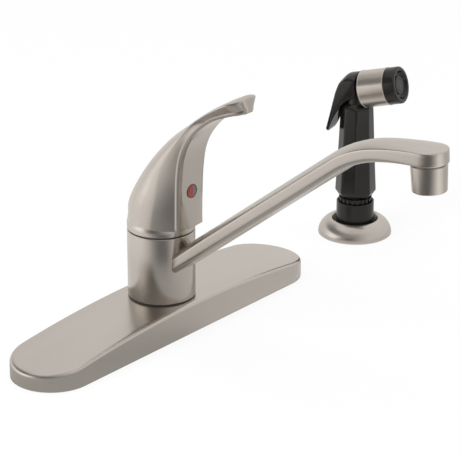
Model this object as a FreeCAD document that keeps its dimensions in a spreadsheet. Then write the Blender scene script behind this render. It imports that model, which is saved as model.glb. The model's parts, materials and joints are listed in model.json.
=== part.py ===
"""Single-handle kitchen faucet with a side spray, for a four-hole sink.

Frame: origin on the sink deck at the middle hole, +X along the row of holes
towards the spray, -Y towards the user, +Z up.  Millimetres and degrees.
"""
import FreeCAD, Part
import Sketcher
import math
import os
from types import SimpleNamespace

ALL_ROUND = 360.0
RIGHT_ANGLE = 90.0

# Driving dimensions.  Heights are above the sink deck unless the name says otherwise.
DIMENSIONS = {
    # sink and deck plate
    "hole_pitch": 101.6,
    "sink_deck": 4.0,
    "plate_width": 52.8,
    "plate_crown": 20.5,
    "plate_end_height": 11.0,
    "plate_wall": 2.4,
    "plate_roof": 2.2,
    "plate_edge_round": 2.4,
    "gasket_thickness": 1.2,
    "tray_thickness": 4.8,
    "tray_clearance": 0.3,
    # threaded shanks, washers and nuts under the deck
    "shank_radius": 10.4,
    "shank_bore": 6.0,
    "shank_head_radius": 14.0,
    "shank_head": 2.4,
    "shank_length": 40.0,
    "washer_thickness": 2.0,
    "washer_radius": 17.5,
    "nut_height": 8.0,
    "nut_radius": 14.5,
    "nut_wing": 21.0,
    "nut_wing_width": 5.0,
    "fit_clearance": 0.2,
    # hub of the spout and the valve body inside it
    "hub_wall": 4.0,
    "hub_fit": 0.4,
    "hub_height": 44.2,
    "hub_chamber": 1.6,
    "hub_land": 12.0,
    "hub_port_radius": 4.2,
    "glide_gap": 0.15,
    "glide_ring": 1.2,
    "glide_ring_upper": 0.7,
    "glide_ring_inset": 0.35,
    "seat_depth": 0.7,
    "body_radius": 17.2,
    "body_rise": 2.65,
    "body_flange_reach": 2.8,
    "body_flange_thickness": 2.4,
    "stub_radius": 15.5,
    "stub_neck_radius": 15.3,
    "stub_depth": 6.0,
    "body_wall": 3.0,
    "cartridge_depth": 16.0,
    "waterway_radius": 2.2,
    "inlet_spread": 5.4,
    "inlet_setback": 2.6,
    "mixed_port_setback": 4.6,
    "tube_spread": 6.8,
    "tube_setback": 3.6,
    "socket_step": 0.5,
    "inlet_tube_radius": 4.75,
    "inlet_tube_wall": 1.6,
    "inlet_tube_length": 36.0,
    "inlet_socket": 5.0,
    "spray_port_setback": 8.4,
    "spray_nipple_radius": 6.4,
    "spray_nipple_length": 14.0,
    "spray_nipple_bore": 3.5,
    "port_rise": 16.85,
    "port_radius": 4.6,
    "diverter_depth": 15.0,
    "diverter_length": 8.5,
    "diverter_stem": 1.5,
    "diverter_rest": 0.4,
    "diverter_fit": 0.08,
    "diverter_stem_radius": 1.8,
    "seal_radius": 1.1,
    "seal_groove": 2.1,
    "seal_gap": 0.1,
    "seal_inset": 5.85,
    # ceramic cartridge
    "inlet_seal_radius": 4.2,
    "inlet_seal_height": 2.2,
    "disc_thickness": 3.0,
    "moving_disc_thickness": 4.0,
    "disc_fit": 0.3,
    "disc_travel": 4.0,
    "mixing_pocket_setback": 3.0,
    "mixing_pocket_depth": 1.0,
    "ball_pocket_depth": 2.2,
    "disc_gap": 0.1,
    "housing_fit": 0.2,
    "housing_wall": 0.8,
    "bonnet_depth": 2.0,
    "housing_lid": 1.6,
    "rotor_fit": 0.4,
    "rotor_flange": 2.2,
    "rotor_neck_radius": 9.6,
    "rotor_gap": 0.3,
    "rotor_rise": 5.0,
    "slot_width": 6.6,
    "slot_front": 8.5,
    "slot_back": 6.6,
    "bonnet_rim": 2.0,
    # cap and lever pivot
    "cap_band": 4.8,
    "cap_step": 0.4,
    "dome_wall": 2.2,
    "dome_opening": 12.5,
    "pin_radius": 1.5,
    "pin_fit": 0.06,
    "pin_length": 18.0,
    "stem_side": 6.0,
    "stem_rise": 33.0,
    "stem_ball_radius": 2.0,
    "stem_ball_drop": 9.7,
    # handle
    "skirt_gap": 0.35,
    "skirt_lift": 0.6,
    "skirt_arch_start": 16.0,
    "skirt_arch_radius": 56.0,
    "paddle_corner": 8.5,
    "socket_clearance": 0.1,
    "button_rise": 24.3,
    "button_radius": 4.75,
    "button_thickness": 2.2,
    "button_proud": 0.4,
    "screw_radius": 2.5,
    "screw_length": 11.0,
    "screw_socket": 1.3,
    # spout arm
    "arm_half_width": 11.4,
    "arm_depth": 8.2,
    "arm_corner": 3.2,
    "arm_wall": 2.0,
    "arm_start": 12.0,
    "arm_drop": 18.65,
    "arm_slope": 37.8,
    "arm_straight_reach": 126.0,
    "arm_bend_radius": 83.0,
    "arm_shoulder_slope": 15.0,
    "arm_tip_radius": 174.0,
    "arm_tip_slope": 3.6,
    "arm_crown": 3.9,
    "arm_shoulder_crown": 3.3,
    "arm_tip_crown": 1.4,
    # round outlet end of the spout and the aerator
    "outlet_radius": 11.8,
    "outlet_height": 8.4,
    "outlet_bore": 8.2,
    "outlet_edge_round": 1.2,
    "aerator_gap": 0.8,
    "aerator_radius": 10.9,
    "aerator_end_radius": 10.3,
    "aerator_length": 16.2,
    "aerator_wall": 1.5,
    "aerator_neck": 5.6,
    "aerator_collar": 0.9,
    "aerator_lip": 1.2,
    "aerator_web": 1.5,
    "insert_length": 7.0,
    "insert_recess": 1.0,
    "insert_hole_radius": 0.9,
    "insert_hole_circle": 5.4,
    "aerator_washer": 2.0,
    # side spray: deck flange and holder
    "spray_offset": 2.3,
    "spray_turn": 13.0,
    "flange_radius": 25.5,
    "flange_rim": 1.8,
    "flange_height": 11.3,
    "flange_crest": 17.6,
    "flange_mouth": 15.4,
    "flange_dome_round": 12.0,
    "flange_wall": 2.2,
    "holder_radius": 13.0,
    "holder_top": 24.0,
    "holder_lip": 1.4,
    "holder_lip_reach": 1.2,
    "holder_seat": 6.0,
    "holder_shank": 12.4,
    "holder_depth": 34.0,
    "holder_bore": 8.0,
    "holder_cup_radius": 11.9,
    "holder_cup_depth": 10.0,
    "holder_nut_radius": 17.0,
    "holder_washer_radius": 19.0,
    # hose coupling and spray grip
    "coupling_radius": 11.4,
    "coupling_rise": 3.2,
    "coupling_gap": 0.3,
    "coupling_rib_depth": 0.8,
    "coupling_rib_width": 1.6,
    "coupling_ribs": 20,
    "tail_radius": 6.2,
    "tail_length": 7.0,
    "hose_socket_radius": 5.0,
    "hose_socket_drop": 9.0,
    "hose_bore": 3.0,
    "grip_foot": 10.9,
    "grip_heel": 13.1,
    "grip_heel_rise": 4.2,
    "grip_waist": 11.3,
    "grip_waist_rise": 42.5,
    "grip_neck": 10.4,
    "grip_neck_rise": 64.5,
    "grip_shoulder": 2.5,
    "neck_radius": 7.4,
    "neck_rise": 73.5,
    # spray head, tilted
    "head_rise": 76.8,
    "head_tilt": 14.5,
    "head_core_radius": 11.9,
    "head_tongue_half_width": 6.6,
    "head_tongue_back": 5.0,
    "head_tongue_half_height": 6.8,
    "sleeve_start": 5.4,
    "sleeve_length": 19.4,
    "sleeve_radius": 13.0,
    "nozzle_radius": 12.7,
    "nozzle_length": 8.4,
    "nozzle_mouth": 9.8,
    "nozzle_recess": 3.0,
    "nozzle_edge": 1.2,
    "face_radius": 6.2,
    "face_height": 2.0,
    # thumb lever of the spray and its valve
    "thumb_half_width": 9.6,
    "thumb_wall": 1.8,
    "thumb_tip_half_width": 5.6,
    "thumb_pivot_back": 1.0,
    "thumb_pivot_rise": 3.2,
    "valve_drop": 6.3,
    "valve_radius": 2.0,
    "valve_fit": 0.08,
    "valve_length": 8.5,
    "valve_reach": 11.2,
    "valve_travel": 1.6,
}

# Stations of the handle, from the skirt up the lever to the paddle's tip.  Each holds the
# share of the dome's radius that it keeps to, then the front (or under) point and the back
# (or upper) point in the middle plane as (beyond that share, above the pivot), positive
# towards the user, then the half width of the front panel and of the bevel's outer edge,
# the ridge's half width beyond that share, the bevel's depth, and how far behind the front
# the ridge lies.
HANDLE_STATIONS = (
    ("skirt", 1.0, 4.1, -0.5, -0.2, -0.5, 9.0, 12.3, 1.1, 2.6, 18.5),
    ("collar", 1.0, 4.1, 12.0, 1.6, 13.0, 9.0, 12.3, -0.4, 2.6, 17.3),
    ("cheek", 0.75, 9.6, 24.0, 1.9, 25.0, 9.2, 12.4, 2.5, 2.6, 16.4),
    ("brow", 0.5, 15.5, 37.0, 5.1, 38.0, 9.4, 12.5, 5.7, 2.5, 15.9),
    ("crown", 0.25, 22.6, 49.1, 10.1, 50.4, 9.6, 12.5, 8.9, 2.2, 12.6),
    ("bend", 0.0, 32.0, 59.7, 16.5, 61.8, 9.8, 12.3, 12.9, 1.8, 9.1),
    ("throat", 0.0, 39.4, 69.8, 32.2, 73.7, 10.2, 11.9, 12.1, 1.2, 6.9),
    ("neck", 0.0, 49.3, 78.0, 44.8, 83.1, 10.4, 11.6, 12.1, 0.9, 6.0),
    ("paddle", 0.0, 60.5, 82.8, 56.2, 90.2, 10.0, 11.6, 12.3, 1.2, 7.9),
    ("tip", 0.0, 72.4, 86.2, 67.8, 96.7, 9.4, 11.4, 12.2, 1.6, 9.9),
)
STATION_FIELDS = ("hood_share", "front", "front_rise", "back", "back_rise", "panel", "bevel",
                  "ridge", "bevel_depth", "ridge_depth")

# Side view of the spray's thumb lever: corners as (ahead of the grip's axis, above the
# head's centre), outer side from the brow down to the tip and back up inside.
THUMB_CORNERS = (
    ("brow", 1.6, 13.3),
    ("back", -6.6, 11.3),
    ("shoulder", -10.8, 6.7),
    ("bend", -13.0, -1.3),
    ("end", -20.2, -29.9),
    ("tip", -18.6, -31.3),
    ("pad", -16.6, -23.8),
    ("web", -15.0, -12.3),
    ("stop", -9.4, -6.7),
    ("cheek", -2.4, -0.7),
    ("lip", 2.6, 1.1),
)
# The hollow between the lever's two cheeks, in the same terms.
THUMB_HOLLOW = (
    ("roof", 6.0, 10.9),
    ("ceiling", -5.8, 9.1),
    ("nape", -8.9, 5.5),
    ("wall", -10.8, -1.7),
    ("foot", -12.6, -11.3),
    ("mouth", 6.0, -11.3),
)


class Dim:
    """A number together with the expression that ties it to the sheet."""

    def __init__(self, value, text):
        self.value = value
        self.text = text

    def __add__(self, other):
        other = dim(other)
        return Dim(self.value + other.value, f"({self.text} + {other.text})")

    def __sub__(self, other):
        other = dim(other)
        return Dim(self.value - other.value, f"({self.text} - {other.text})")

    def __mul__(self, other):
        other = dim(other)
        return Dim(self.value * other.value, f"({self.text} * {other.text})")

    def __truediv__(self, other):
        other = dim(other)
        return Dim(self.value / other.value, f"({self.text} / {other.text})")

    def __neg__(self):
        return Dim(-self.value, f"(-1 * {self.text})")


def dim(number):
    return number if isinstance(number, Dim) else Dim(float(number), str(number))


def sine(angle):
    return Dim(math.sin(math.radians(angle.value)), f"sin({angle.text})")


def cosine(angle):
    return Dim(math.cos(math.radians(angle.value)), f"cos({angle.text})")


def leg(slant, other):
    """The second short side of a right triangle."""
    return Dim(math.sqrt(slant.value ** 2 - other.value ** 2),
               f"sqrt({slant.text}^2 - {other.text}^2)")


# ---- the document and its sheet

doc = FreeCAD.newDocument("SideSprayFaucet")
sheet = doc.addObject("Spreadsheet::Sheet", "Sizes")
sizes = {}
parts = []


def add_size(name, value):
    row = len(sizes) + 1
    sheet.set(f"A{row}", name)
    sheet.set(f"B{row}", str(value))
    sheet.setAlias(f"B{row}", name)
    sizes[name] = Dim(float(value), f"Sizes.{name}")


for size_name, size_value in DIMENSIONS.items():
    add_size(size_name, size_value)
for station in HANDLE_STATIONS:
    for field, size_value in zip(STATION_FIELDS, station[1:]):
        add_size(f"handle_{station[0]}_{field}", size_value)
for word, ahead, rise in THUMB_CORNERS + THUMB_HOLLOW:
    add_size(f"thumb_{word}_ahead", ahead)
    add_size(f"thumb_{word}_rise", rise)
doc.recompute()
d = SimpleNamespace(**sizes)

# Places that several sub-parts share.
plate_half = d.plate_width / 2
hub_bore = d.body_radius + d.hub_fit
hub_radius = hub_bore + d.hub_wall
dome_radius = hub_radius - d.cap_step
cartridge_bore = d.body_radius - d.body_wall
housing_radius = cartridge_bore - d.housing_fit
housing_bore = housing_radius - d.housing_wall
moving_disc_radius = housing_bore - d.rotor_fit - d.disc_travel
seat_height = d.plate_crown - d.seat_depth
hub_base = seat_height + d.glide_ring + d.glide_gap
hub_top = hub_base + d.hub_height
cap_base = hub_top + d.glide_gap + d.glide_ring_upper
pivot_height = cap_base + d.cap_band
tray_top = d.gasket_thickness + d.tray_thickness
body_top = hub_top + d.body_rise
port_height = hub_base + d.port_rise
seal_heights = (hub_base + d.seal_inset, hub_top - d.seal_inset)
cartridge_floor = body_top - d.cartridge_depth
housing_top = body_top - d.bonnet_depth
fixed_disc_base = cartridge_floor + d.inlet_seal_height
moving_disc_base = fixed_disc_base + d.disc_thickness + d.disc_gap
moving_disc_top = moving_disc_base + d.moving_disc_thickness
rotor_base = moving_disc_top + d.rotor_gap
stem_top = pivot_height + d.stem_rise
button_height = pivot_height + d.button_rise
spray_x = d.hole_pitch * 2
holder_cup_floor = d.holder_top - d.holder_cup_depth
coupling_base = holder_cup_floor + d.coupling_gap
coupling_top = d.holder_top + d.coupling_rise
grip_base = coupling_top + d.coupling_gap
head_height = grip_base + d.head_rise
thumb_pivot_height = head_height + d.thumb_pivot_rise
valve_height = head_height - d.valve_drop
sleeve_end = d.sleeve_start + d.sleeve_length


# ---- helpers for bodies, sketches and features

def new_body(label):
    body = doc.addObject("PartDesign::Body", label)
    body.Label = label
    parts.append(body)
    return body


def place(part, x=0, y=0, z=0, turn=0.0, tilt=0.0):
    """Moves a part to its place, turned about Z and then tilted about its own X."""
    turned_by = FreeCAD.Rotation(FreeCAD.Vector(0, 0, 1), turn)
    tilted_by = FreeCAD.Rotation(FreeCAD.Vector(1, 0, 0), tilt)
    x, y, z = dim(x), dim(y), dim(z)
    spot = FreeCAD.Vector(x.value, y.value, z.value)
    part.Placement = FreeCAD.Placement(spot, turned_by.multiply(tilted_by))
    for axis, amount in (("x", x), ("y", y), ("z", z)):
        part.setExpression(f"Placement.Base.{axis}", amount.text)


def origin_plane(body, role):
    return next(item for item in body.Origin.OriginFeatures if item.Role == role)


def sketch_on(body, role, lift=0, shift=(0, 0), lean=None):
    """A sketch on one of the body's planes, lifted along its normal; lean turns it about
    its own X, positive where its normal leans towards its upward side."""
    sketch = body.newObject("Sketcher::SketchObject", f"{body.Name}_sketch")
    sketch.AttachmentSupport = [(origin_plane(body, role), "")]
    sketch.MapMode = "FlatFace"
    across, up, out = dim(shift[0]), dim(shift[1]), dim(lift)
    spot = FreeCAD.Vector(across.value, up.value, out.value)
    lean = dim(0) if lean is None else lean
    sign = -1 if lean.value >= 0 else 1
    leaned = FreeCAD.Rotation(FreeCAD.Vector(sign, 0, 0), abs(lean.value))
    sketch.AttachmentOffset = FreeCAD.Placement(spot, leaned)
    for axis, amount in (("x", across), ("y", up), ("z", out)):
        sketch.setExpression(f"AttachmentOffset.Base.{axis}", amount.text)
    if lean.value:
        amount = -lean * sign
        sketch.setExpression("AttachmentOffset.Rotation.Angle", amount.text)
    return sketch


def bind(sketch, kind, *where_and_value):
    """Adds one dimension to a sketch and ties it to the sheet."""
    *where, amount = where_and_value
    index = sketch.addConstraint(Sketcher.Constraint(kind, *where, amount.value))
    sketch.setExpression(f"Constraints[{index}]", amount.text)


def arc_between(start, end, radius):
    """The shorter arc from start to end, bending left where radius is positive."""
    chord = end - start
    middle = (start + end) / 2
    side = FreeCAD.Vector(-chord.y, chord.x, 0).normalize()
    reach = math.sqrt(max(radius ** 2 - (chord.Length / 2) ** 2, 0.0))
    centre = middle + side * (reach if radius > 0 else -reach)
    first, last = (start, end) if radius > 0 else (end, start)
    angles = [math.atan2(p.y - centre.y, p.x - centre.x) for p in (first, last)]
    circle = Part.Circle(centre, FreeCAD.Vector(0, 0, 1), abs(radius))
    return Part.ArcOfCircle(circle, angles[0], angles[1])


def outline(sketch, corners):
    """Closes an outline through corners (across, up).  A third entry makes the edge that
    arrives there an arc of that radius, to the left where it is positive."""
    corners = [tuple(dim(entry) for entry in corner) for corner in corners]
    spots = [FreeCAD.Vector(c[0].value, c[1].value, 0) for c in corners]
    edges = []
    for index, corner in enumerate(corners):
        start, end = spots[index - 1], spots[index]
        if len(corner) == 3:
            bends_left = corner[2].value > 0
            geometry = sketch.addGeometry(arc_between(start, end, corner[2].value), False)
            edges.append((geometry, 1 if bends_left else 2, 2 if bends_left else 1))
            bind(sketch, "Radius", geometry, corner[2] if bends_left else -corner[2])
        else:
            geometry = sketch.addGeometry(Part.LineSegment(start, end), False)
            edges.append((geometry, 1, 2))
    for index, corner in enumerate(corners):
        edge, start, end = edges[index]
        following, follow_start, _ = edges[(index + 1) % len(edges)]
        sketch.addConstraint(
            Sketcher.Constraint("Coincident", edge, end, following, follow_start))
        bind(sketch, "DistanceX", edge, end, corner[0])
        bind(sketch, "DistanceY", edge, end, corner[1])


def ring(sketch, radius, across=0, up=0):
    across, up, radius = dim(across), dim(up), dim(radius)
    circle = Part.Circle(FreeCAD.Vector(across.value, up.value, 0),
                         FreeCAD.Vector(0, 0, 1), radius.value)
    geometry = sketch.addGeometry(circle, False)
    bind(sketch, "Radius", geometry, radius)
    bind(sketch, "DistanceX", geometry, 3, across)
    bind(sketch, "DistanceY", geometry, 3, up)


def rectangle(sketch, left, low, right, high):
    outline(sketch, ((left, low), (right, low), (right, high), (left, high)))


def stadium(sketch, reach, radius):
    """A long hole's outline: two half circles whose centres are reach from the middle."""
    side = radius.value
    out = reach.value
    arcs = []
    for sign in (1, -1):
        centre = FreeCAD.Vector(sign * out, 0, 0)
        circle = Part.Circle(centre, FreeCAD.Vector(0, 0, 1), side)
        start = -math.pi / 2 if sign > 0 else math.pi / 2
        arcs.append(sketch.addGeometry(Part.ArcOfCircle(circle, start, start + math.pi), False))
    top = sketch.addGeometry(Part.LineSegment(FreeCAD.Vector(out, side, 0),
                                              FreeCAD.Vector(-out, side, 0)), False)
    low = sketch.addGeometry(Part.LineSegment(FreeCAD.Vector(-out, -side, 0),
                                              FreeCAD.Vector(out, -side, 0)), False)
    for first, first_end, second, second_end in ((arcs[0], 2, top, 1), (top, 2, arcs[1], 1),
                                                 (arcs[1], 2, low, 1), (low, 2, arcs[0], 1)):
        sketch.addConstraint(
            Sketcher.Constraint("Tangent", first, first_end, second, second_end))
    bind(sketch, "Radius", arcs[0], radius)
    bind(sketch, "DistanceX", arcs[0], 3, reach)
    bind(sketch, "DistanceY", arcs[0], 3, dim(0))
    bind(sketch, "DistanceX", arcs[1], 3, -reach)
    bind(sketch, "DistanceY", arcs[1], 3, dim(0))


def feature(body, kind, sketch, **settings):
    made = body.newObject(f"PartDesign::{kind}", f"{body.Name}_{kind}")
    made.Profile = sketch
    sketch.Visibility = False
    for name, setting in settings.items():
        if isinstance(setting, Dim):
            setattr(made, name, setting.value)
            made.setExpression(name, setting.text)
        else:
            setattr(made, name, setting)
    doc.recompute()
    return made


def pad(body, sketch, length, **settings):
    return feature(body, "Pad", sketch, Length=dim(length), **settings)


def cut(body, sketch, length=None, **settings):
    """A pocket that must take material away."""
    before = body.Shape.Volume
    if length is None:
        settings["Type"] = "ThroughAll"
    else:
        settings["Length"] = dim(length)
    made = feature(body, "Pocket", sketch, **settings)
    assert made.Shape.Volume < before, f"{body.Label}: a pocket missed"
    return made


def spin(body, sketch, kind="Revolution"):
    return feature(body, kind, sketch, ReferenceAxis=(sketch, ["V_Axis"]), Angle=ALL_ROUND)


def turned(label, corners):
    """A round piece turned about the Z axis from a profile of (radius, height)."""
    body = new_body(label)
    sketch = sketch_on(body, "XZ_Plane")
    outline(sketch, corners)
    spin(body, sketch)
    return body


def tube(label, outer, inner, low, high):
    return turned(label, ((inner, low), (outer, low), (outer, high), (inner, high)))


def repeat_round(body, made, count):
    """Repeats a feature about the Z axis."""
    pattern = body.newObject("PartDesign::PolarPattern", f"{body.Name}_pattern")
    pattern.Originals = [made]
    axis = next(item for item in body.Origin.OriginFeatures if item.Role == "Z_Axis")
    pattern.Axis = (axis, [""])
    pattern.Angle = ALL_ROUND
    pattern.Occurrences = int(count.value)
    pattern.setExpression("Occurrences", count.text)
    body.Tip = pattern
    doc.recompute()
    return pattern


def dress(body, kind, amount, chosen):
    """Rounds or chamfers the edges of the body's tip that chosen() accepts."""
    base = body.Tip
    names = [f"Edge{number}" for number, edge in enumerate(base.Shape.Edges, 1) if chosen(edge)]
    assert names, f"{body.Label}: no edge to dress"
    made = body.newObject(f"PartDesign::{kind}", f"{body.Name}_{kind}")
    made.Base = (base, names)
    field = "Radius" if kind == "Fillet" else "Size"
    setattr(made, field, amount.value)
    made.setExpression(field, amount.text)
    doc.recompute()
    return made


def loft(body, sections, kind="AdditiveLoft", ruled=False):
    made = body.newObject(f"PartDesign::{kind}", f"{body.Name}_{kind}")
    made.Profile = sections[0]
    made.Sections = list(sections[1:])
    made.Ruled = ruled
    for section in sections:
        section.Visibility = False
    doc.recompute()
    return made


# ---- deck plate and what holds it down

def build_base_plate():
    """Long arched shell with round ends, a round seat for the hub and a hole for the
    valve body."""
    body = new_body("base_plate")
    around = sketch_on(body, "XY_Plane")
    stadium(around, d.hole_pitch, plate_half)
    pad(body, around, d.plate_crown * 1.1)
    half_length = d.hole_pitch + plate_half
    sagitta = d.plate_crown - d.plate_end_height
    arch_radius = (half_length * half_length + sagitta * sagitta) / (sagitta * 2)
    over = sketch_on(body, "XZ_Plane")
    headroom = d.plate_crown * 1.2
    outline(over, ((-half_length, headroom), (-half_length, d.plate_end_height),
                   (half_length, d.plate_end_height, -arch_radius), (half_length, headroom)))
    cut(body, over, Midplane=True)
    plate_top = d.plate_end_height.value - 0.01
    dress(body, "Fillet", d.plate_edge_round,
          lambda edge: edge.BoundBox.ZMin > plate_top and edge.BoundBox.XLength > 1)
    inside = sketch_on(body, "XY_Plane")
    stadium(inside, d.hole_pitch, plate_half - d.plate_wall)
    cut(body, inside, d.plate_end_height - d.plate_roof, Reversed=True)
    seat = sketch_on(body, "XY_Plane", lift=seat_height)
    ring(seat, hub_radius)
    cut(body, seat, Reversed=True)
    hole = sketch_on(body, "XY_Plane")
    ring(hole, d.body_radius + d.fit_clearance)
    cut(body, hole, Reversed=True)


def build_tray(label, low, thickness):
    """A flat layer under the plate with holes for the valve body and the two shanks."""
    body = new_body(label)
    around = sketch_on(body, "XY_Plane", lift=low)
    stadium(around, d.hole_pitch, plate_half - d.plate_wall - d.tray_clearance)
    ring(around, d.stub_radius + d.fit_clearance)
    for side in (1, -1):
        ring(around, d.shank_radius + d.fit_clearance, across=d.hole_pitch * side)
    pad(body, around, thickness)


def build_shank(label, side):
    """Hollow threaded shank whose head rests on the tray."""
    head_top = tray_top + d.shank_head
    body = turned(label, ((d.shank_bore, -d.shank_length), (d.shank_radius, -d.shank_length),
                          (d.shank_radius, tray_top), (d.shank_head_radius, tray_top),
                          (d.shank_head_radius, head_top), (d.shank_bore, head_top)))
    place(body, x=d.hole_pitch * side)


def build_wing_nut(label, side):
    """Plastic nut with two finger wings."""
    top = -d.sink_deck - d.washer_thickness
    body = tube(label, d.nut_radius, d.shank_radius, top - d.nut_height, top)
    wings = sketch_on(body, "XY_Plane", lift=top - d.nut_height)
    inner = (d.nut_radius + d.shank_radius) / 2
    half = d.nut_wing_width / 2
    rectangle(wings, inner, -half, d.nut_wing, half)
    rectangle(wings, -d.nut_wing, -half, -inner, half)
    pad(body, wings, d.nut_height)
    place(body, x=d.hole_pitch * side)


# ---- valve body, waterways and seals

def build_valve_body():
    """Turned brass body with its waterways, seal grooves, cartridge bore and flange."""
    flange = d.body_radius + d.body_flange_reach
    flange_top = tray_top + d.body_flange_thickness
    body = turned("valve_body", (
        (0, -d.stub_depth), (d.stub_radius, -d.stub_depth), (d.stub_radius, 0),
        (d.stub_neck_radius, 0), (d.stub_neck_radius, tray_top),
        (flange, tray_top), (flange, flange_top), (d.body_radius, flange_top),
        (d.body_radius, body_top), (cartridge_bore, body_top),
        (cartridge_bore, cartridge_floor), (0, cartridge_floor)))
    groove_floor = d.body_radius - d.seal_groove
    for height in seal_heights:
        groove = sketch_on(body, "XZ_Plane")
        rectangle(groove, groove_floor, height - d.seal_radius - d.fit_clearance,
                  d.body_radius + 1, height + d.seal_radius + d.fit_clearance)
        spin(body, groove, "Groove")
    waterways = sketch_on(body, "XY_Plane", lift=-d.stub_depth)
    for side in (1, -1):
        ring(waterways, d.waterway_radius, d.inlet_spread * side, -d.inlet_setback)
    cut(body, waterways, Reversed=True)
    spray_way = sketch_on(body, "XY_Plane", lift=-d.stub_depth)
    ring(spray_way, d.waterway_radius, up=d.spray_port_setback)
    cut(body, spray_way, d.stub_depth + port_height, Reversed=True)
    sockets = sketch_on(body, "XY_Plane", lift=-d.stub_depth)
    for side in (1, -1):
        ring(sockets, d.inlet_tube_radius - d.socket_step, d.tube_spread * side,
             -d.tube_setback)
    ring(sockets, d.spray_nipple_radius - d.socket_step, up=d.spray_port_setback)
    cut(body, sockets, d.inlet_socket, Reversed=True)
    diverter_bore = sketch_on(body, "XZ_Plane", lift=-d.body_radius)
    ring(diverter_bore, d.port_radius, up=port_height)
    cut(body, diverter_bore, d.diverter_depth, Reversed=True)
    mixed = sketch_on(body, "XY_Plane", lift=cartridge_floor)
    ring(mixed, d.waterway_radius, up=d.mixed_port_setback)
    cut(body, mixed, cartridge_floor - port_height)


def socketed_tube(label, outer, inner, length):
    """A tube hanging from the valve body, its upper end turned down to enter its socket."""
    neck = outer - d.socket_step
    return turned(label, ((inner, -length), (outer, -length), (outer, 0), (neck, 0),
                          (neck, d.inlet_socket), (inner, d.inlet_socket)))


def build_inlet_tube(label, side):
    body = socketed_tube(label, d.inlet_tube_radius,
                         d.inlet_tube_radius - d.inlet_tube_wall, d.inlet_tube_length)
    place(body, d.tube_spread * side, -d.tube_setback, -d.stub_depth)


def build_spray_outlet():
    """Threaded nipple that the spray's hose screws onto."""
    body = socketed_tube("spray_outlet", d.spray_nipple_radius, d.spray_nipple_bore,
                         d.spray_nipple_length)
    place(body, 0, d.spray_port_setback, -d.stub_depth)


def build_diverter():
    """Cup-shaped shuttle with a short stem, sliding across the body behind the spout."""
    radius = d.port_radius - d.diverter_fit
    stem_end = d.diverter_length + d.diverter_stem
    body = turned("diverter", ((0, 0), (radius, 0), (radius, d.diverter_length),
                               (d.diverter_stem_radius, d.diverter_length),
                               (d.diverter_stem_radius, stem_end), (0, stem_end)))
    floor = d.body_radius - d.diverter_depth
    place(body, 0, floor + d.diverter_rest, port_height, tilt=-RIGHT_ANGLE)


def build_seal(label, height):
    """O-ring in a groove of the valve body."""
    body = new_body(label)
    section = sketch_on(body, "XZ_Plane")
    ring(section, d.seal_radius, hub_bore - d.seal_gap - d.seal_radius, height)
    spin(body, section)


def build_inlet_seal(label, side):
    body = tube(label, d.inlet_seal_radius, d.waterway_radius, cartridge_floor,
                fixed_disc_base)
    place(body, d.inlet_spread * side, -d.inlet_setback)


# ---- ceramic cartridge

def build_fixed_disc():
    body = new_body("fixed_disc")
    face = sketch_on(body, "XY_Plane", lift=fixed_disc_base)
    ring(face, housing_bore - d.disc_fit)
    for side in (1, -1):
        ring(face, d.waterway_radius, d.inlet_spread * side, -d.inlet_setback)
    ring(face, d.waterway_radius, up=d.mixed_port_setback)
    pad(body, face, d.disc_thickness)


def build_moving_disc():
    """Ceramic disc driven by the stem's ball, with a mixing pocket below that joins the
    inlets to the outlet once the disc has slid forward."""
    body = new_body("moving_disc")
    face = sketch_on(body, "XY_Plane", lift=moving_disc_base)
    ring(face, moving_disc_radius)
    pad(body, face, d.moving_disc_thickness)
    pocket = sketch_on(body, "XY_Plane", lift=moving_disc_top)
    ring(pocket, d.stem_ball_radius + d.rotor_gap)
    cut(body, pocket, d.ball_pocket_depth)
    mixing = sketch_on(body, "XY_Plane", lift=moving_disc_base)
    ring(mixing, moving_disc_radius / 2, up=d.mixing_pocket_setback)
    cut(body, mixing, d.mixing_pocket_depth, Reversed=True)


def build_cartridge_housing():
    base = fixed_disc_base
    lid = housing_top - d.housing_lid
    opening = d.rotor_neck_radius + d.rotor_gap
    turned("cartridge_housing", (
        (housing_bore, base), (housing_radius, base), (housing_radius, housing_top),
        (opening, housing_top), (opening, lid), (housing_bore, lid)))


def build_rotor():
    """Turret that carries the lever's pin; it turns with the handle to mix the water."""
    flange = housing_bore - d.rotor_fit
    flange_top = rotor_base + d.rotor_flange
    rotor_top = pivot_height + d.rotor_rise
    body = turned("cartridge_rotor", (
        (0, rotor_base), (flange, rotor_base), (flange, flange_top), (d.rotor_neck_radius, flange_top),
        (d.rotor_neck_radius, rotor_top), (0, rotor_top)))
    half = d.slot_width / 2
    slot = sketch_on(body, "XY_Plane")
    rectangle(slot, -half, -d.slot_front, half, d.slot_back)
    cut(body, slot, Reversed=True)
    pin_hole = sketch_on(body, "YZ_Plane")
    ring(pin_hole, d.pin_radius, up=pivot_height)
    cut(body, pin_hole, Midplane=True)


def build_bonnet_nut():
    bore = d.rotor_neck_radius + d.rotor_gap
    rim_top = body_top + d.bonnet_rim
    turned("bonnet_nut", (
        (bore, housing_top), (cartridge_bore, housing_top),
        (cartridge_bore, body_top), (d.body_radius, body_top),
        (d.body_radius, rim_top), (bore, rim_top)))


def build_cap():
    """Band above the spout's hub that rises into the dome under the handle."""
    inner = dome_radius - d.dome_wall
    band_top = pivot_height - d.cap_step
    rim = leg(dome_radius, d.dome_opening) + pivot_height
    rim_inside = leg(inner, d.dome_opening) + pivot_height
    turned("cap", (
        (d.body_radius, cap_base), (hub_radius, cap_base), (hub_radius, band_top),
        (dome_radius, pivot_height), (d.dome_opening, rim, dome_radius),
        (d.dome_opening, rim_inside), (inner, pivot_height, -inner),
        (d.body_radius, pivot_height)))


# ---- lever: pin, stem, handle, screw and button

def build_lever_pin():
    body = new_body("lever_pin")
    end = sketch_on(body, "YZ_Plane")
    ring(end, d.pin_radius, up=pivot_height)
    pad(body, end, d.pin_length, Midplane=True)


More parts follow.
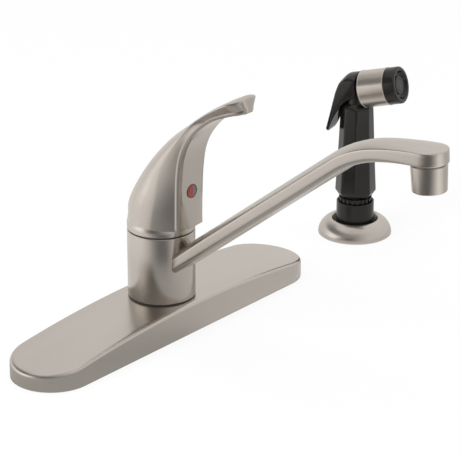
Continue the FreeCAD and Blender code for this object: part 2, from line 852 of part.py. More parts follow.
def build_lever_stem():
    """Square stem on the pin, with a thin foot and a ball that drives the disc."""
    body = new_body("lever_stem")
    half = d.stem_side / 2
    low = rotor_base + 1
    square = sketch_on(body, "XY_Plane", lift=low)
    rectangle(square, -half, -half, half, half)
    pad(body, square, stem_top - low)
    ball_height = pivot_height - d.stem_ball_drop
    ball_end = ball_height - d.stem_ball_radius
    foot = sketch_on(body, "XZ_Plane")
    outline(foot, ((0, ball_end), (d.stem_ball_radius, ball_height, d.stem_ball_radius),
                   (d.stem_ball_radius, low + 0.5), (0, low + 0.5)))
    spin(body, foot)
    hole = sketch_on(body, "YZ_Plane")
    ring(hole, d.pin_radius + d.pin_fit, up=pivot_height)
    cut(body, hole, Midplane=True)


def handle_station(name):
    """One station's sizes, with the hood's share of the dome's radius added in."""
    at = {field: sizes[f"handle_{name}_{field}"] for field in STATION_FIELDS}
    hood = dome_radius * at["hood_share"]
    at["front"] = hood + at["front"]
    at["back"] = at["back"] - hood
    at["ridge"] = hood + at["ridge"]
    return at


def handle_section(body, name):
    """One cross-section of the handle: front panel, bevels, flanks and rounded back."""
    at = handle_station(name)
    run = at["front"] - at["back"]
    rise = at["back_rise"] - at["front_rise"]
    depth = Dim(math.hypot(run.value, rise.value), f"sqrt({run.text}^2 + {rise.text}^2)")
    rear_lift = Dim(math.degrees(math.atan2(rise.value, run.value)),
                    f"atan2({rise.text}; {run.text})")
    section = sketch_on(body, "XY_Plane", lift=pivot_height + at["front_rise"],
                        shift=(0, -at["front"]), lean=-rear_lift)
    crown = depth - at["ridge_depth"]
    radius = (at["ridge"] * at["ridge"] + crown * crown) / (crown * 2)
    outline(section, (
        (-at["panel"], 0), (at["panel"], 0), (at["bevel"], at["bevel_depth"]),
        (at["ridge"], at["ridge_depth"]), (0, depth, radius),
        (-at["ridge"], at["ridge_depth"], radius), (-at["bevel"], at["bevel_depth"])))
    return section


def round_paddle(body):
    """Rounds the paddle's two corners in plan."""
    corners = sketch_on(body, "XY_Plane", lift=pivot_height + d.handle_throat_front_rise)
    end = handle_station("tip")
    side, tip, radius = end["ridge"], end["front"] * 1.014, d.paddle_corner
    for sign in (1, -1):
        outer, inner = side * sign * 1.25, (side - radius) * sign
        outline(corners, ((side * sign, radius - tip, radius * sign), (outer, radius - tip),
                          (outer, -tip * 1.04), (inner, -tip * 1.04), (inner, -tip)))
    cut(body, corners, Reversed=True)


def build_handle():
    """Hood over the dome that sweeps up into the lever and its paddle."""
    body = new_body("handle")
    loft(body, [handle_section(body, station[0]) for station in HANDLE_STATIONS])
    skirt = sketch_on(body, "YZ_Plane")
    skirt_front = pivot_height + d.skirt_lift
    back = hub_radius * 1.2
    rise = d.skirt_arch_radius - leg(d.skirt_arch_radius, back + d.skirt_arch_start)
    far, low = hub_radius * 2, pivot_height - hub_radius
    outline(skirt, ((-far, low), (back, low), (back, skirt_front + rise),
                    (-d.skirt_arch_start, skirt_front, -d.skirt_arch_radius),
                    (-far, skirt_front)))
    cut(body, skirt, Midplane=True)
    round_paddle(body)
    cavity = sketch_on(body, "XZ_Plane")
    radius = dome_radius + d.skirt_gap
    outline(cavity, ((0, pivot_height - 1), (radius, pivot_height - 1),
                     (radius, pivot_height), (0, pivot_height + radius, radius)))
    spin(body, cavity, "Groove")
    half = d.stem_side / 2 + d.socket_clearance
    socket = sketch_on(body, "XY_Plane", lift=stem_top + d.socket_clearance)
    rectangle(socket, -half, -half, half, half)
    cut(body, socket)
    front = handle_station("cheek")["front"]
    ahead = front + d.button_radius
    screw_way = sketch_on(body, "XZ_Plane", lift=ahead)
    ring(screw_way, d.screw_radius, up=button_height)
    cut(body, screw_way, ahead)
    seat = sketch_on(body, "XZ_Plane", lift=ahead)
    ring(seat, d.button_radius + d.socket_clearance, up=button_height)
    cut(body, seat, d.button_thickness - d.button_proud + d.button_radius)


def build_handle_screw():
    """Set screw that holds the handle on the stem, with a hexagon socket."""
    body = tube("handle_screw", d.screw_radius, 0, 0, d.screw_length)
    socket = sketch_on(body, "XY_Plane", lift=d.screw_length)
    reach = d.screw_socket
    corners = []
    for corner in range(6):
        angle = math.radians(60 * corner)
        corners.append((reach * math.cos(angle), reach * math.sin(angle)))
    outline(socket, corners)
    cut(body, socket, d.screw_length / 3)
    place(body, 0, -d.stem_side / 2, button_height, tilt=RIGHT_ANGLE)


def build_handle_button():
    body = tube("handle_button", d.button_radius, 0, 0, d.button_thickness)
    dress(body, "Fillet", d.button_proud * 0.9,
          lambda edge: abs(edge.BoundBox.ZMin - d.button_thickness.value) < 0.01)
    back = handle_station("cheek")["front"] + d.button_proud - d.button_thickness
    place(body, 0, -back, button_height, tilt=RIGHT_ANGLE)


# ---- spout

def arm_stations():
    """Places along the arm's upper edge: straight rise, bend, then the flat reach to the
    outlet.  Each is (towards the user, height, slope, crown)."""
    stations = []
    arm_start_height = hub_top - d.arm_drop
    run = d.arm_straight_reach
    rise_per_run = sine(d.arm_slope) / cosine(d.arm_slope)
    for share in (0.0, 1.0):
        stations.append((d.arm_start + run * share,
                         arm_start_height + run * rise_per_run * share,
                         d.arm_slope, d.arm_crown))
    out, height = stations[-1][:2]
    legs = ((d.arm_bend_radius, d.arm_slope, d.arm_shoulder_slope, d.arm_crown,
             d.arm_shoulder_crown, 4),
            (d.arm_tip_radius, d.arm_shoulder_slope, d.arm_tip_slope, d.arm_shoulder_crown,
             d.arm_tip_crown, 4))
    for radius, first, last, crown_first, crown_last, count in legs:
        for step in range(1, count + 1):
            share = step / count
            slope = first + (last - first) * share
            stations.append((out + radius * (sine(first) - sine(slope)),
                             height + radius * (cosine(slope) - cosine(first)), slope,
                             crown_first + (crown_last - crown_first) * share))
        out, height = stations[-1][:2]
    return stations


def arm_section(body, station, inset):
    """Crowned top, upright sides and rounded lower corners, drawn in by inset."""
    out, height, slope, crown = station
    section = sketch_on(body, "XZ_Plane", lift=out, shift=(0, height), lean=slope)
    half = d.arm_half_width - inset
    low = -(d.arm_depth - inset)
    corner = d.arm_corner - inset * 0.5
    top = -inset
    radius = (half * half + crown * crown) / (crown * 2)
    outline(section, (
        (half, top), (-half, top, radius), (-half, low + corner),
        (corner - half, low, corner), (half - corner, low), (half, low + corner, corner)))
    return section


def arm_lofts(body, stations, inset, kind):
    """The straight rise, then the bend."""
    sections = [arm_section(body, station, inset) for station in stations]
    loft(body, sections[:2], kind, ruled=True)
    bend_start = arm_section(body, stations[1], inset)
    loft(body, [bend_start] + sections[2:], kind)


def build_spout_arm():
    """Hollow arm that ends in a round outlet block."""
    body = new_body("spout_arm")
    stations = arm_stations()
    arm_lofts(body, stations, dim(0), "AdditiveLoft")
    tip_out, tip_height = stations[-1][:2]
    block = sketch_on(body, "XZ_Plane", lift=tip_out, shift=(0, tip_height),
                      lean=d.arm_tip_slope)
    low, high = -d.outlet_height, d.arm_tip_crown * 0.4
    rounding = d.outlet_edge_round
    outline(block, ((0, low), (d.outlet_radius, low), (d.outlet_radius, high - rounding),
                    (d.outlet_radius - rounding, high, rounding), (0, high)))
    spin(body, block)
    hub = sketch_on(body, "XY_Plane")
    ring(hub, hub_radius)
    cut(body, hub, Midplane=True)
    arm_lofts(body, stations, d.arm_wall, "SubtractiveLoft")
    outlet = sketch_on(body, "XZ_Plane", lift=tip_out, shift=(0, tip_height),
                       lean=d.arm_tip_slope)
    rectangle(outlet, 0, low - 1, d.outlet_bore, -d.arm_wall)
    spin(body, outlet, "Groove")


def build_spout_hub():
    """Sleeve that turns on the valve body, with a water chamber behind the arm."""
    low_land = hub_base + d.hub_land
    high_land = hub_top - d.hub_land
    chamber = hub_bore + d.hub_chamber
    body = turned("spout_hub", (
        (hub_bore, hub_base), (hub_radius, hub_base), (hub_radius, hub_top),
        (hub_bore, hub_top), (hub_bore, high_land), (chamber, high_land),
        (chamber, low_land), (hub_bore, low_land)))
    port = sketch_on(body, "XZ_Plane", lift=hub_radius + 1)
    slope = sine(d.arm_slope) / cosine(d.arm_slope)
    edge_height = hub_top - d.arm_drop + (hub_radius - d.arm_start) * slope
    ring(port, d.hub_port_radius, up=edge_height - d.arm_depth * 0.4)
    cut(body, port, hub_radius)


def outlet_place():
    """Centre of the outlet block's underside."""
    out, height = arm_stations()[-1][:2]
    return (-(out + d.outlet_height * sine(d.arm_tip_slope)),
            height - d.outlet_height * cosine(d.arm_tip_slope))


def build_aerator_shell():
    """Round shell screwed up into the outlet; it narrows a little towards the water."""
    low = -d.aerator_gap - d.aerator_length
    inner = d.aerator_end_radius - d.aerator_wall
    neck = d.outlet_bore
    collar = neck + d.aerator_collar
    lip = neck - d.aerator_lip
    body = turned("aerator_shell", (
        (inner, low), (d.aerator_end_radius, low), (d.aerator_radius, -d.aerator_gap),
        (collar, -d.aerator_gap), (collar, 0), (neck, 0), (neck, d.aerator_neck),
        (lip, d.aerator_neck), (lip, 0), (inner, -d.aerator_gap - d.aerator_web)))
    dress(body, "Fillet", d.aerator_wall * 0.4,
          lambda edge: abs(edge.BoundBox.ZMax - low.value) < 0.01)
    return body


def build_aerator_insert():
    """Plastic cartridge with a ring of water holes."""
    low = -d.aerator_gap - d.aerator_length + d.insert_recess
    radius = d.aerator_end_radius - d.aerator_wall
    body = tube("aerator_insert", radius, 0, low, low + d.insert_length)
    hole = sketch_on(body, "XY_Plane", lift=low)
    ring(hole, d.insert_hole_radius, d.insert_hole_circle)
    made = cut(body, hole, Reversed=True)
    repeat_round(body, made, dim(8))
    return body


def build_aerator_washer():
    low = -d.aerator_gap - d.aerator_length + d.insert_recess + d.insert_length
    radius = d.aerator_end_radius - d.aerator_wall
    return tube("aerator_washer", radius, radius - 3, low, low + d.aerator_washer)


# ---- side spray

def build_spray_flange():
    """Domed ring on the deck with a funnel mouth, hollow underneath."""
    bore = d.holder_shank + d.fit_clearance
    inside = d.flange_radius - d.flange_wall
    inner_wall = d.holder_radius + d.flange_wall
    body = turned("spray_flange", (
        (bore, 0), (inner_wall, 0), (inner_wall, d.holder_seat - 1),
        (inside - 3, d.holder_seat - 1), (inside, 0), (d.flange_radius, 0),
        (d.flange_radius, d.flange_rim),
        (d.flange_crest, d.flange_height, d.flange_dome_round),
        (d.flange_mouth, d.flange_height - 0.5), (inner_wall - 0.6, d.holder_seat),
        (bore, d.holder_seat)))
    place(body, spray_x, -d.spray_offset)


def build_spray_holder():
    """Black tube through the flange with a cup on top for the spray and a threaded end."""
    lip_top = d.holder_seat + d.holder_lip
    lip = d.holder_radius + d.holder_lip_reach
    body = turned("spray_holder", (
        (d.holder_bore, -d.holder_depth), (d.holder_shank, -d.holder_depth),
        (d.holder_shank, d.holder_seat), (lip, d.holder_seat), (lip, lip_top),
        (d.holder_radius, lip_top), (d.holder_radius, d.holder_top),
        (d.holder_cup_radius, d.holder_top), (d.holder_cup_radius, holder_cup_floor),
        (d.holder_bore, holder_cup_floor)))
    place(body, spray_x, -d.spray_offset)


def build_under_deck(label_washer, label_nut):
    """Washer and nut that clamp the spray's holder from below."""
    washer_low = -d.sink_deck - d.washer_thickness
    washer = tube(label_washer, d.holder_washer_radius, d.holder_shank, washer_low,
                  -d.sink_deck)
    place(washer, spray_x, -d.spray_offset)
    nut = tube(label_nut, d.holder_nut_radius, d.holder_shank, washer_low - d.nut_height,
               washer_low)
    notch = sketch_on(nut, "XY_Plane", lift=washer_low - d.nut_height)
    half = d.nut_wing_width / 2
    rectangle(notch, d.holder_nut_radius - 1.6, -half, d.holder_nut_radius + 1, half)
    made = cut(nut, notch, Reversed=True)
    repeat_round(nut, made, dim(6))
    place(nut, spray_x, -d.spray_offset)


def build_hose_coupling():
    """Ribbed nut that the spray turns in, with the hose's socket below."""
    bore = d.tail_radius + d.coupling_gap
    thread_floor = grip_base - d.tail_length - d.coupling_gap
    socket_end = coupling_base - d.hose_socket_drop
    body = turned("hose_coupling", (
        (d.hose_bore, socket_end), (d.hose_socket_radius, socket_end),
        (d.hose_socket_radius, coupling_base), (d.coupling_radius, coupling_base),
        (d.coupling_radius, coupling_top), (bore, coupling_top), (bore, thread_floor),
        (d.hose_bore, thread_floor)))
    groove = sketch_on(body, "XY_Plane", lift=coupling_top)
    half = d.coupling_rib_width / 2
    rectangle(groove, d.coupling_radius - d.coupling_rib_depth, -half,
              d.coupling_radius + 1, half)
    made = cut(body, groove, coupling_top - d.holder_top + 2)
    repeat_round(body, made, d.coupling_ribs)
    place(body, spray_x, -d.spray_offset)


def octagon(body, height, flat):
    """Eight-sided section of the grip, flat to the front and to the sides."""
    section = sketch_on(body, "XY_Plane", lift=height)
    shoulder = flat * math.tan(math.radians(22.5))
    outline(section, ((shoulder, flat), (-shoulder, flat), (-flat, shoulder),
                      (-flat, -shoulder), (-shoulder, -flat), (shoulder, -flat),
                      (flat, -shoulder), (flat, shoulder)))
    return section


def spray_piece(body):
    """Puts a piece of the spray at its hole, turned the way the spray rests."""
    place(body, spray_x, -d.spray_offset, 0, turn=d.spray_turn.value)


def head_piece(body):
    """Puts a round piece on the head's tilted axis."""
    place(body, spray_x, -d.spray_offset, head_height, turn=d.spray_turn.value,
          tilt=RIGHT_ANGLE - d.head_tilt.value)


def build_spray_grip():
    """Eight-sided grip that tapers up to a neck, with the core of the head."""
    body = new_body("spray_grip")
    heel = grip_base + d.grip_heel_rise
    shoulder = grip_base + d.grip_neck_rise
    levels = ((grip_base, d.grip_foot), (heel, d.grip_heel),
              (grip_base + d.grip_waist_rise, d.grip_waist), (shoulder, d.grip_neck),
              (shoulder + d.grip_shoulder, d.neck_radius))
    loft(body, [octagon(body, height, flat) for height, flat in levels], ruled=True)
    tail = sketch_on(body, "XY_Plane", lift=grip_base - d.tail_length)
    ring(tail, d.tail_radius)
    pad(body, tail, d.tail_length)
    neck = sketch_on(body, "XY_Plane", lift=shoulder)
    ring(neck, d.neck_radius)
    pad(body, neck, d.neck_rise - d.grip_neck_rise)
    core_start = d.sleeve_start - d.fit_clearance
    core = sketch_on(body, "XZ_Plane", lift=core_start * cosine(d.head_tilt),
                     shift=(0, head_height + core_start * sine(d.head_tilt)),
                     lean=d.head_tilt)
    ring(core, d.head_core_radius)
    pad(body, core, d.sleeve_length + d.fit_clearance)
    tongue = sketch_on(body, "YZ_Plane")
    low = head_height - d.head_tongue_half_height
    high = head_height + d.head_tongue_half_height
    rectangle(tongue, -d.neck_radius - 1, low, d.head_tongue_back, high)
    pad(body, tongue, d.head_tongue_half_width * 2, Midplane=True)
    pin_hole = sketch_on(body, "YZ_Plane")
    ring(pin_hole, d.pin_radius, d.thumb_pivot_back, thumb_pivot_height)
    cut(body, pin_hole, Midplane=True)
    valve_bore = sketch_on(body, "XZ_Plane",
                           lift=d.valve_length + d.valve_travel - d.valve_reach)
    ring(valve_bore, d.valve_radius + d.valve_fit, up=valve_height)
    cut(body, valve_bore, d.valve_reach)
    spray_piece(body)


def build_head_pieces():
    """Metal sleeve, black nozzle ring and the spray face, all on the head's axis."""
    sleeve = tube("spray_sleeve", d.sleeve_radius, d.head_core_radius, d.sleeve_start,
                  sleeve_end)
    head_piece(sleeve)
    front = sleeve_end + d.nozzle_length
    floor = front - d.nozzle_recess
    nozzle = turned("nozzle_ring", (
        (0, sleeve_end), (d.nozzle_radius, sleeve_end),
        (d.nozzle_radius, front - d.nozzle_edge), (d.nozzle_radius - d.nozzle_edge, front),
        (d.nozzle_mouth, front), (d.nozzle_mouth - 1.2, floor), (0, floor)))
    head_piece(nozzle)
    face = tube("spray_face", d.face_radius, 0, floor, floor + d.face_height)
    head_piece(face)


def thumb_outline(corners):
    """Corners of the lever's side view as the sketch wants them: (behind, height)."""
    return [(-sizes[f"thumb_{word}_ahead"], head_height + sizes[f"thumb_{word}_rise"])
            for word, ahead, rise in corners]


def build_thumb_lever():
    """Thumb lever hooked over the back of the head, open below for the grip's neck."""
    body = new_body("thumb_lever")
    side = sketch_on(body, "YZ_Plane")
    outline(side, thumb_outline(THUMB_CORNERS))
    pad(body, side, d.thumb_half_width * 2, Midplane=True)
    hollow = sketch_on(body, "YZ_Plane")
    outline(hollow, thumb_outline(THUMB_HOLLOW))
    cut(body, hollow, (d.thumb_half_width - d.thumb_wall) * 2, Midplane=True)
    taper = sketch_on(body, "XZ_Plane")
    top = head_height + d.thumb_bend_rise
    low = head_height + d.thumb_tip_rise - 1
    for sign in (1, -1):
        outline(taper, ((d.thumb_half_width * sign, top), (d.thumb_tip_half_width * sign, low),
                        ((d.thumb_half_width + 1) * sign, low)))
    cut(body, taper, Midplane=True)
    pin_hole = sketch_on(body, "YZ_Plane")
    ring(pin_hole, d.pin_radius + d.pin_fit, d.thumb_pivot_back, thumb_pivot_height)
    cut(body, pin_hole, Midplane=True)
    spray_piece(body)


def build_thumb_pin():
    body = new_body("thumb_pin")
    end = sketch_on(body, "YZ_Plane")
    ring(end, d.pin_radius, d.thumb_pivot_back, thumb_pivot_height)
    pad(body, end, d.thumb_half_width * 2 - 0.6, Midplane=True)
    spray_piece(body)


def build_spray_valve():
    """Valve stem across the neck that the thumb lever pushes in."""
    body = new_body("spray_valve")
    end = sketch_on(body, "XZ_Plane", lift=-d.valve_reach)
    ring(end, d.valve_radius, up=valve_height)
    pad(body, end, d.valve_length)
    spray_piece(body)


# ---- the whole faucet

def build_all():
    build_base_plate()
    build_tray("deck_gasket", dim(0), d.gasket_thickness)
    build_tray("under_plate", d.gasket_thickness, d.tray_thickness)
    for side, word in ((-1, "left"), (1, "right")):
        build_shank(f"shank_{word}", side)
        washer_low = -d.sink_deck - d.washer_thickness
        washer = tube(f"washer_{word}", d.washer_radius, d.shank_radius, washer_low,
                      -d.sink_deck)
        place(washer, x=d.hole_pitch * side)
        build_wing_nut(f"wing_nut_{word}", side)
    build_valve_body()
    for side, word in ((-1, "hot"), (1, "cold")):
        build_inlet_tube(f"inlet_tube_{word}", side)
        build_inlet_seal(f"inlet_seal_{word}", side)
    build_spray_outlet()
    build_diverter()
    for word, height in zip(("low", "high"), seal_heights):
        build_seal(f"spout_seal_{word}", height)
    inner = d.body_radius + d.fit_clearance
    glide = hub_radius - d.glide_ring_inset
    tube("glide_ring_low", glide, inner, seat_height, seat_height + d.glide_ring)
    tube("glide_ring_high", glide, inner, hub_top + d.glide_gap, cap_base)
    build_fixed_disc()
    build_moving_disc()
    build_cartridge_housing()
    build_rotor()
    build_bonnet_nut()
    build_cap()
    build_lever_pin()
    build_lever_stem()
    build_handle()
    build_handle_screw()
    build_handle_button()
    build_spout_hub()
    build_spout_arm()
    outlet_y, outlet_z = outlet_place()
    for piece in (build_aerator_shell(), build_aerator_insert(), build_aerator_washer()):
        place(piece, 0, outlet_y, outlet_z, tilt=-d.arm_tip_slope.value)
    build_spray_flange()
    build_spray_holder()
    build_under_deck("spray_washer", "spray_nut")
    build_hose_coupling()
    build_spray_grip()
    build_head_pieces()
    build_thumb_lever()
    build_thumb_pin()
    build_spray_valve()


def check_all():
    """Every object must be up to date and every sub-part a valid solid."""
    doc.recompute()
    failed = [item.Name for item in doc.Objects
              if "Invalid" in item.State or "Error" in item.State]
    assert not failed, f"failed: {failed}"
    for body in parts:
        shape = body.Shape
        assert not shape.isNull() and shape.isValid() and shape.Solids, body.Label


build_all()
check_all()
os.makedirs("parts", exist_ok=True)
for body in parts:
    body.Shape.exportStep(f"parts/{body.Label}.step")
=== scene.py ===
import json
import math

import bmesh
import bpy
from mathutils import Matrix, Vector


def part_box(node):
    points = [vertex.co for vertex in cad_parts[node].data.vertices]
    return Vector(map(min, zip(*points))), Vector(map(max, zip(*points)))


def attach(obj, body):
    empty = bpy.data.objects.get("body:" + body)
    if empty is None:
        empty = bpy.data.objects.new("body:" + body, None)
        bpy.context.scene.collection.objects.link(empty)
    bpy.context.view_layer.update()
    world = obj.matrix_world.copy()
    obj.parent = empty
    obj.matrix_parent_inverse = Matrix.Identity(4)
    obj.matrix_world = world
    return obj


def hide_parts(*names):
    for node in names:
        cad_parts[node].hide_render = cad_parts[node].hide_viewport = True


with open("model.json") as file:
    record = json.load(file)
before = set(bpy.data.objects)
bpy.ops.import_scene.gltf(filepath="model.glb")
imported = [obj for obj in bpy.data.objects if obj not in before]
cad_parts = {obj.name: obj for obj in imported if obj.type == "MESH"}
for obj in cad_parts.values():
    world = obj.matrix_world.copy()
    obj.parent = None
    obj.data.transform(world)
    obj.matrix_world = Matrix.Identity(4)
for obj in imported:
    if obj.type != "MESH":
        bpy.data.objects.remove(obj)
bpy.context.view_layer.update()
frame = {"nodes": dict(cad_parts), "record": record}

MM = 0.001


# ---- The studio: a white table and backdrop, soft boxes to the left, above and to the right,
# and glowing cards that only reflections see, which draw the bands on the turned metal.
VIEW_RIGHT = Vector((0.63354, -0.77371, 0.0))
VIEW_UP = Vector((0.28792, 0.23575, 0.92818))
VIEW_BACK = Vector((-0.71815, -0.58804, 0.37212))
CAMERA_AT = Vector((-1.07553, -0.93672, 0.63503))
LENS = 190.7
TABLE_SIZE = 8.0
TABLE_WHITE = (0.86, 0.86, 0.86, 1.0)
TABLE_SHADOW_SHARE = 0.12
WORLD_GREY = (0.78, 0.78, 0.78, 1.0)
WORLD_STRENGTH = 0.55
WHITE = (1.0, 1.0, 1.0, 1.0)
CARD_STEPS = 96
CARD_PEAK = 2.0
CARD_TINT = (1.0, 0.985, 0.965)

camera = bpy.data.objects.new("studio_camera", bpy.data.cameras.new("studio_camera"))
bpy.context.scene.collection.objects.link(camera)
camera.data.lens = LENS
camera.data.sensor_width = 36.0
camera.data.clip_end = 50.0
turn = Matrix((VIEW_RIGHT, VIEW_UP, VIEW_BACK)).transposed().to_4x4()
camera.matrix_world = Matrix.Translation(CAMERA_AT) @ turn
bpy.context.scene.camera = camera
bpy.context.scene.view_settings.view_transform = "Standard"


def add_node(nodes, kind, values=None, **settings):
    """A new node with some of its settings and input values."""
    node = nodes.new(kind)
    for setting, value in settings.items():
        setattr(node, setting, value)
    for socket, value in (values or {}).items():
        node.inputs[socket].default_value = value
    return node


def node_material(name):
    """A new material with its nodes and links."""
    material = bpy.data.materials.new(name)
    material.use_nodes = True
    return material, material.node_tree.nodes, material.node_tree.links


def seen_directly(nodes, links):
    """A mask that is 1 for camera, glossy and transmission rays."""
    path = nodes.new("ShaderNodeLightPath")
    straight = add_node(nodes, "ShaderNodeMath", operation="MAXIMUM")
    links.new(path.outputs["Is Camera Ray"], straight.inputs[0])
    links.new(path.outputs["Is Glossy Ray"], straight.inputs[1])
    either = add_node(nodes, "ShaderNodeMath", operation="MAXIMUM")
    links.new(straight.outputs[0], either.inputs[0])
    links.new(path.outputs["Is Transmission Ray"], either.inputs[1])
    return either.outputs[0]


def mixed_shaders(nodes, links, mask, first, second):
    """The first shader where the mask is 0 and the second where it is 1."""
    mixed = nodes.new("ShaderNodeMixShader")
    for index, output in enumerate((mask, first.outputs[0], second.outputs[0])):
        links.new(output, mixed.inputs[index])
    return mixed.outputs[0]


world = bpy.data.worlds.new("studio_world")
bpy.context.scene.world = world
world.use_nodes = True
nodes, links = world.node_tree.nodes, world.node_tree.links
nodes.clear()
ambient = add_node(nodes, "ShaderNodeBackground",
                   {"Color": WORLD_GREY, "Strength": WORLD_STRENGTH})
backdrop = add_node(nodes, "ShaderNodeBackground", {"Color": WHITE})
sky = mixed_shaders(nodes, links, seen_directly(nodes, links), ambient, backdrop)
sky_out = nodes.new("ShaderNodeOutputWorld")
links.new(sky, sky_out.inputs["Surface"])

bpy.ops.mesh.primitive_plane_add(size=TABLE_SIZE, location=(0.0, 0.0, 0.0))
table = bpy.context.object
table.name = "studio_table"
table_white, nodes, links = node_material("table_white")
nodes.clear()
matte = add_node(nodes, "ShaderNodeBsdfDiffuse", {"Color": TABLE_WHITE})
glow = add_node(nodes, "ShaderNodeEmission", {"Color": WHITE})
share = add_node(nodes, "ShaderNodeMath", {1: 1.0 - TABLE_SHADOW_SHARE}, operation="MULTIPLY")
links.new(seen_directly(nodes, links), share.inputs[0])
table_top = mixed_shaders(nodes, links, share.outputs[0], matte, glow)
surface_out = nodes.new("ShaderNodeOutputMaterial")
links.new(table_top, surface_out.inputs["Surface"])
table.data.materials.append(table_white)


def soft_box(name, place, aim, width, height, power):
    lamp = bpy.data.lights.new(name, "AREA")
    lamp.shape = "RECTANGLE"
    lamp.size, lamp.size_y = width, height
    lamp.energy = power
    holder = bpy.data.objects.new(name, lamp)
    bpy.context.scene.collection.objects.link(holder)
    holder.location = place
    holder.rotation_euler = (Vector(aim) - Vector(place)).to_track_quat("-Z", "Y").to_euler()
    holder.visible_camera = False
    holder.visible_glossy = False


soft_box("key_box", (-1.7, 0.3, 1.5), (0.05, -0.05, 0.08), 1.2, 1.2, 26.0)
soft_box("top_box", (0.1, 0.2, 2.2), (0.05, -0.05, 0.0), 1.6, 1.6, 24.0)
soft_box("fill_box", (1.2, -1.6, 0.9), (0.05, -0.05, 0.08), 1.2, 0.9, 9.0)


def glowing_card(name, rings, tones):
    """A card that only reflections see, stretched between rings of (radius, height) round
    the hub, with a brightness for each direction in degrees from the x axis."""
    angles = [math.radians(360.0 * step / CARD_STEPS - 180.0) for step in range(CARD_STEPS + 1)]
    points = [(reach * math.cos(angle), reach * math.sin(angle), height)
              for reach, height in rings for angle in angles]
    count = len(angles)
    faces = [(row + i, row + i + 1, row + count + 1 + i, row + count + i)
             for row in range(0, count * (len(rings) - 1), count) for i in range(CARD_STEPS)]
    mesh = bpy.data.meshes.new(name)
    mesh.from_pydata(points, [], faces)
    card = bpy.data.objects.new(name, mesh)
    bpy.context.scene.collection.objects.link(card)
    material, nodes, links = node_material(name)
    nodes.clear()
    place = nodes.new("ShaderNodeTexCoord")
    around = add_node(nodes, "ShaderNodeTexGradient", gradient_type="RADIAL")
    links.new(place.outputs["Object"], around.inputs["Vector"])
    ramp = nodes.new("ShaderNodeValToRGB")
    for index, (direction, tone) in enumerate(tones):
        share = ((direction + 180.0) % 360.0) / 360.0
        if index < 2:
            stop = ramp.color_ramp.elements[index]
            stop.position = share
        else:
            stop = ramp.color_ramp.elements.new(share)
        stop.color = tuple(tint * tone / CARD_PEAK for tint in CARD_TINT) + (1.0,)
    links.new(around.outputs["Color"], ramp.inputs["Fac"])
    glow = add_node(nodes, "ShaderNodeEmission", {"Strength": CARD_PEAK})
    links.new(ramp.outputs["Color"], glow.inputs["Color"])
    surface_out = nodes.new("ShaderNodeOutputMaterial")
    links.new(glow.outputs[0], surface_out.inputs["Surface"])
    mesh.materials.append(material)
    card.visible_camera = False
    card.visible_diffuse = False
    card.visible_shadow = False
    card.visible_transmission = False


glowing_card("table_card", ((0.16, 0.0008), (3.0, 0.0008)), (
    (-180.0, 0.76), (179.9, 0.78), (20.0, 0.8), (60.0, 0.9), (122.0, 1.0), (158.0, 1.0),
    (196.0, 0.42), (212.0, 0.18), (236.0, 0.14), (252.0, 0.5), (272.0, 1.15), (284.0, 1.0),
    (304.0, 0.62), (335.0, 0.66)))
glowing_card("near_card", ((0.001, 0.0005), (0.16, 0.0005)), (
    (-180.0, 0.5), (179.9, 0.5), (60.0, 0.85), (140.0, 0.9), (160.0, 0.6), (215.0, 0.46),
    (250.0, 0.5), (300.0, 0.64)))
glowing_card("side_card", ((2.6, 0.02), (2.6, 0.6), (2.55, 1.2)), (
    (-180.0, 0.22), (179.9, 0.22), (20.0, 0.85), (60.0, 0.85), (100.0, 0.9), (124.0, 1.3),
    (140.0, 1.6), (156.0, 1.35), (172.0, 0.5), (190.0, 0.12), (210.0, 0.2), (232.0, 0.5),
    (262.0, 0.8), (330.0, 0.85)))
glowing_card("upper_card", ((2.55, 1.2), (2.2, 1.75), (1.7, 2.25)), (
    (-180.0, 0.36), (179.9, 0.36), (20.0, 0.95), (60.0, 0.85), (86.0, 0.4), (112.0, 0.2),
    (150.0, 0.24), (230.0, 0.5), (270.0, 0.8), (330.0, 0.9)))
glowing_card("ceiling_card", ((1.7, 2.25), (1.0, 2.6), (0.01, 2.7)), (
    (-180.0, 0.8), (179.9, 0.8), (60.0, 0.95), (130.0, 0.9), (200.0, 0.72), (320.0, 0.9)))


# ---- Finishes shared by the metal pieces: zinc and brass castings, turned, brushed and
# plated in warm satin nickel.  The brushing leaves fine lines that catch the light.
NICKEL_LIGHT = (0.60, 0.558, 0.515, 1.0)
NICKEL_DARK = (0.53, 0.488, 0.445, 1.0)
BRUSHING_DEPTH = 0.02 * MM


